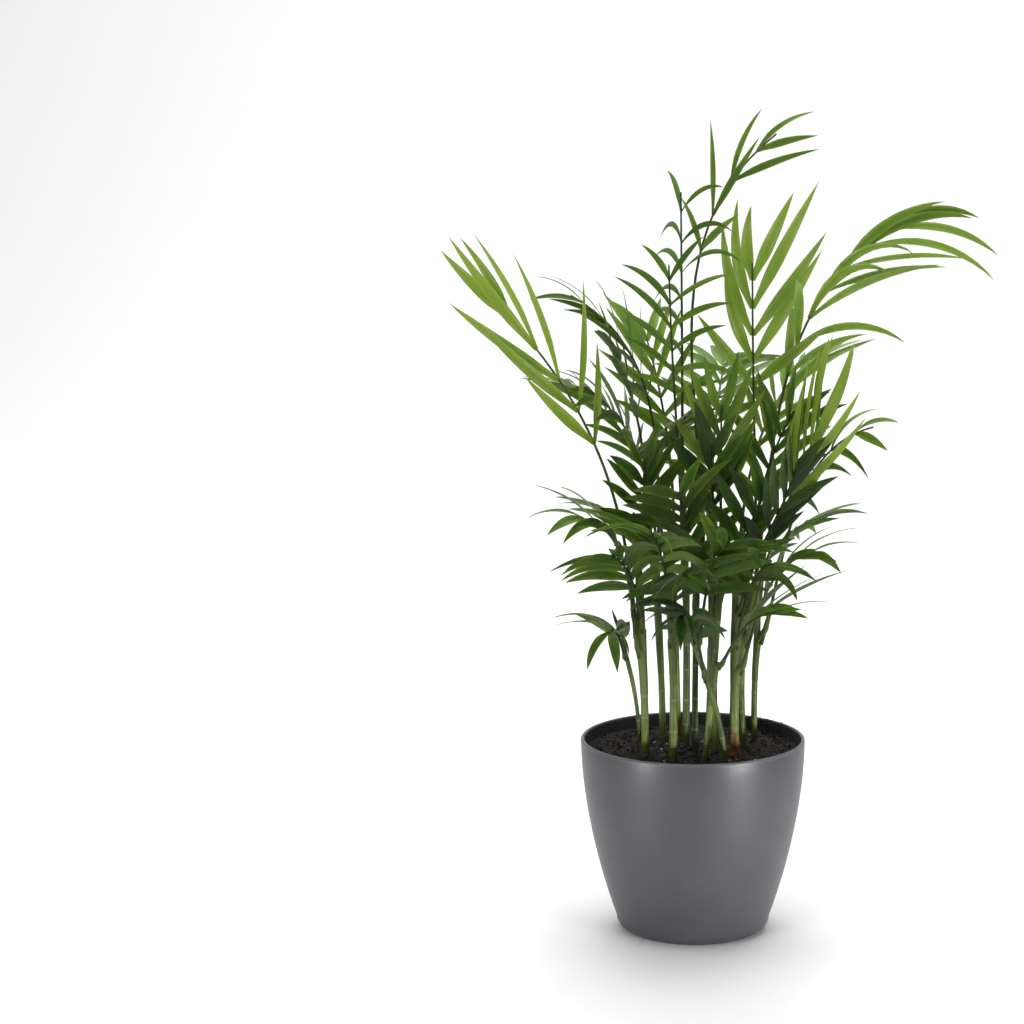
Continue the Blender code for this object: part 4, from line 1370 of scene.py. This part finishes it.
def build_stalk(name, stalk):
    frond = FRONDS[name]
    ends = stalk[1]
    # The stalk follows its frond's tone, so the frond's painted shade and painted back light reach its
    # stalk and sheath too.
    tone = frond.tone
    stem = swept(name + "_stem", *stalk_line(ends))
    put_value(stem.data, "tone", [tone * 0.55] * len(stem.data.vertices))
    sheath = swept(name + "_sheath", *sheath_line(frond, ends))
    put_value(sheath.data, "tone", [0.45 + 0.3 * tone] * len(sheath.data.vertices))
    made = joined(name + "_stalk", [stem, sheath])
    return settled(smoothed(made, 60), "leaf", [name], stalk_skin())


def blade_pattern():
    """The straight leaflet that every blade is bent from: X across, Y along, Z its two sides."""
    deselect()
    bpy.ops.mesh.primitive_circle_add(
        vertices=len(BLADE_SECTION), radius=1, rotation=(math.pi / 2, 0, 0)
    )
    made = added("blade_pattern")
    bpy.ops.object.transform_apply(rotation=True)
    for v, (x, z) in zip(made.data.vertices, BLADE_SECTION):
        v.co = (x, 0, z)
    bpy.ops.object.mode_set(mode="EDIT")
    bpy.ops.mesh.select_mode(type="EDGE")
    bpy.ops.mesh.select_all(action="SELECT")
    bpy.ops.mesh.edge_face_add()
    bpy.ops.mesh.select_all(action="SELECT")
    for row in range(BLADE_ROWS):
        bpy.ops.mesh.extrude_edges_move(TRANSFORM_OT_translate={"value": (0, 1 / BLADE_ROWS, 0)})
    bpy.ops.mesh.merge(type="CENTER")
    bpy.ops.mesh.select_all(action="SELECT")
    bpy.ops.mesh.normals_make_consistent(inside=False)
    bpy.ops.object.mode_set(mode="OBJECT")
    return made


def blade_points(leaf, pattern, phase):
    """The pattern's points laid along a leaflet."""
    laid = np.empty_like(pattern)
    for y in np.unique(pattern[:, 1]):
        row = np.isclose(pattern[:, 1], y)
        middle, front, upper = leaf_at(leaf, float(y))
        half = max(leaf_half(leaf, float(y)), 0.00003)
        across = pattern[row, 0] * -leaf.side
        fold = LEAF_FOLD * half * np.abs(across) ** BLADE_CUP * (1.25 - 0.5 * y)
        ripple = BLADE_RIPPLE * half * np.sin(phase + 9 * y + 1.6 * across) * abs(across)
        thick = BLADE_THICK / 2 * (1 - 0.6 * y) * pattern[row, 2]
        lift = (fold + ripple + thick)[:, None]
        laid[row] = np.array(middle) + np.outer(across * half, front) + lift * np.array(upper)
    return laid


def build_blades(name, leaves, pattern):
    """All of a frond's leaflets as one piece."""
    draw = random.Random(name + " blades")
    plan = np.array([v.co for v in pattern.data.vertices])
    faces = [tuple(face.vertices) for face in pattern.data.polygons]
    # Each leaflet takes its frond's tone, which is partly age and partly painted shade and painted back
    # light.
    tone = FRONDS[name].tone
    points, every, uvs, tones = [], [], [], []
    for leaf in [leaf for leaf in leaves if leaf]:
        start = len(points) * len(plan)
        points.append(blade_points(leaf, plan, draw.uniform(0, math.tau)))
        order = faces if leaf.side < 0 else [face[::-1] for face in faces]
        every += [tuple(start + v for v in face) for face in order]
        turned = np.array([v for face in order for v in face])
        uvs.append(plan[turned][:, :2] * (0.5, 1) + (0.5, 0))
        tones.append(np.full(len(plan), tone + draw.uniform(-0.09, 0.09)))
    mesh = bpy.data.meshes.new(name + "_leaves")
    mesh.from_pydata(np.concatenate(points).tolist(), [], every)
    layer = mesh.uv_layers.new(name="UVMap")
    layer.data.foreach_set("uv", np.concatenate(uvs).ravel())
    put_value(mesh, "tone", np.concatenate(tones))
    made = bpy.data.objects.new(name + "_leaves", mesh)
    bpy.context.scene.collection.objects.link(made)
    return settled(smoothed(made, 50), "leaf", [name], leaf_skin())


def build_fronds():
    stalks, leaves = grown_fronds()
    pattern = blade_pattern()
    for name in FRONDS:
        build_stalk(name, stalks[name])
        build_blades(name, leaves[name], pattern)
    bpy.data.objects.remove(pattern)


class PALM_OT_fronds(bpy.types.Operator):
    """Grows every frond: its sheath, its stalk and its folded leaflets"""

    bl_idname = "palm.fronds"
    bl_label = "Fronds"

    def execute(self, context):
        build_fronds()
        return {"FINISHED"}


# ---- Stage.


def build_backdrop():
    """A white floor that rises behind in one soft sweep."""
    deselect()
    bpy.ops.mesh.primitive_plane_add(size=SWEEP_SIZE, location=(0, 0, 0))
    sweep = added("studio_sweep")
    bpy.ops.object.mode_set(mode="EDIT")
    bpy.ops.mesh.select_mode(type="EDGE")
    bpy.ops.mesh.select_all(action="DESELECT")
    bpy.ops.object.mode_set(mode="OBJECT")
    for edge in sweep.data.edges:
        edge.select = all(sweep.data.vertices[i].co.y > 0 for i in edge.vertices)
    bpy.ops.object.mode_set(mode="EDIT")
    bpy.ops.mesh.extrude_edges_move(TRANSFORM_OT_translate={"value": (0, 0, SWEEP_RISE)})
    bpy.ops.object.mode_set(mode="OBJECT")
    applied(sweep, "BEVEL", width=SWEEP_ROUND, segments=16, limit_method="ANGLE")
    smoothed(sweep, 60)
    sweep.data.materials.append(paper_white())


def softbox(name, place, size, power, aim=(0, 0, 0.3), beam=180):
    """A square or oblong soft light that faces a point, with its beam's width in degrees."""
    deselect()
    bpy.ops.object.light_add(type="AREA", location=place)
    lamp = added(name)
    lamp.data.shape = "RECTANGLE"
    lamp.data.size, lamp.data.size_y = size
    lamp.data.energy = power
    lamp.data.spread = math.radians(beam)
    lamp.rotation_euler = (Vector(aim) - Vector(place)).to_track_quat("-Z", "Y").to_euler()


def build_camera():
    look = bpy.context.scene.palm_stage
    deselect()
    bpy.ops.object.camera_add(location=(0, -look.distance, look.height))
    camera = added("camera")
    pitch = math.atan2(look.height - look.aim, look.distance)
    level = Vector((0, math.cos(pitch), -math.sin(pitch)))
    above = Vector((0, math.sin(pitch), math.cos(pitch)))
    right = Vector((1, 0, 0)) * math.cos(look.turn) + level * math.sin(look.turn)
    ahead = level * math.cos(look.turn) - Vector((1, 0, 0)) * math.sin(look.turn)
    turned = Matrix((right, above, -ahead)).transposed().to_4x4()
    camera.matrix_world = Matrix.Translation(camera.location) @ turned
    camera.data.lens = look.lens
    camera.data.sensor_width = SENSOR_WIDTH
    camera.data.dof.use_dof = False
    bpy.context.scene.camera = camera


def build_light():
    world = bpy.data.worlds.new("studio")
    world.use_nodes = True
    background = world.node_tree.nodes["Background"]
    background.inputs["Color"].default_value = (1, 1, 1, 1)
    background.inputs["Strength"].default_value = 0.16
    bpy.context.scene.world = world
    softbox("key_light", (-1.2, -2.0, 1.5), (1.0, 1.0), 11)
    softbox("top_light", (0.08, 0.2, 2.6), (2.0, 2.0), 74)
    softbox("right_light", (0.56, -0.52, 0.07), (0.16, 0.12), 0.26, aim=(0.05, -0.05, 0.08), beam=30)
    softbox("left_light", (-0.55, -0.53, 0.07), (0.14, 0.12), 0.14, aim=(-0.05, -0.05, 0.08), beam=30)
    softbox("floor_light", (0, 2.4, 3.2), (4, 2.5), 84, aim=(0, 3.2, 0.2))
    bpy.context.scene.view_settings.view_transform = "Standard"


class PALM_OT_stage(bpy.types.Operator):
    """Sets the white studio, its soft lights and the camera"""

    bl_idname = "palm.stage"
    bl_label = "Studio"

    def execute(self, context):
        build_backdrop()
        build_light()
        build_camera()
        return {"FINISHED"}


class PALM_PT_build(bpy.types.Panel):
    """Buttons that build the palm, piece by piece"""

    bl_label = "Potted parlour palm"
    bl_space_type = "VIEW_3D"
    bl_region_type = "UI"
    bl_category = "Palm"

    def draw(self, context):
        for maker in MAKERS:
            self.layout.operator(maker.bl_idname)


MAKERS = (
    PALM_OT_pot, PALM_OT_soil, PALM_OT_canes, PALM_OT_dry_sheaths, PALM_OT_fronds, PALM_OT_stage,
)
SETTINGS = {
    "palm_pot": PalmPotSettings,
    "palm_soil": PalmSoilSettings,
    "palm_plant": PalmPlantSettings,
    "palm_stage": PalmStageSettings,
}


def register():
    for group in (*SETTINGS.values(), *MAKERS, PALM_PT_build):
        bpy.utils.register_class(group)
    for name, group in SETTINGS.items():
        setattr(bpy.types.Scene, name, bpy.props.PointerProperty(type=group))


def unregister():
    for name in SETTINGS:
        delattr(bpy.types.Scene, name)
    for group in (PALM_PT_build, *reversed(MAKERS), *SETTINGS.values()):
        bpy.utils.unregister_class(group)


def main():
    register()
    bpy.ops.palm.pot()
    bpy.ops.palm.soil()
    bpy.ops.palm.canes()
    bpy.ops.palm.dry_sheaths()
    bpy.ops.palm.fronds()
    bpy.ops.palm.stage()


if __name__ == "__main__":
    main()
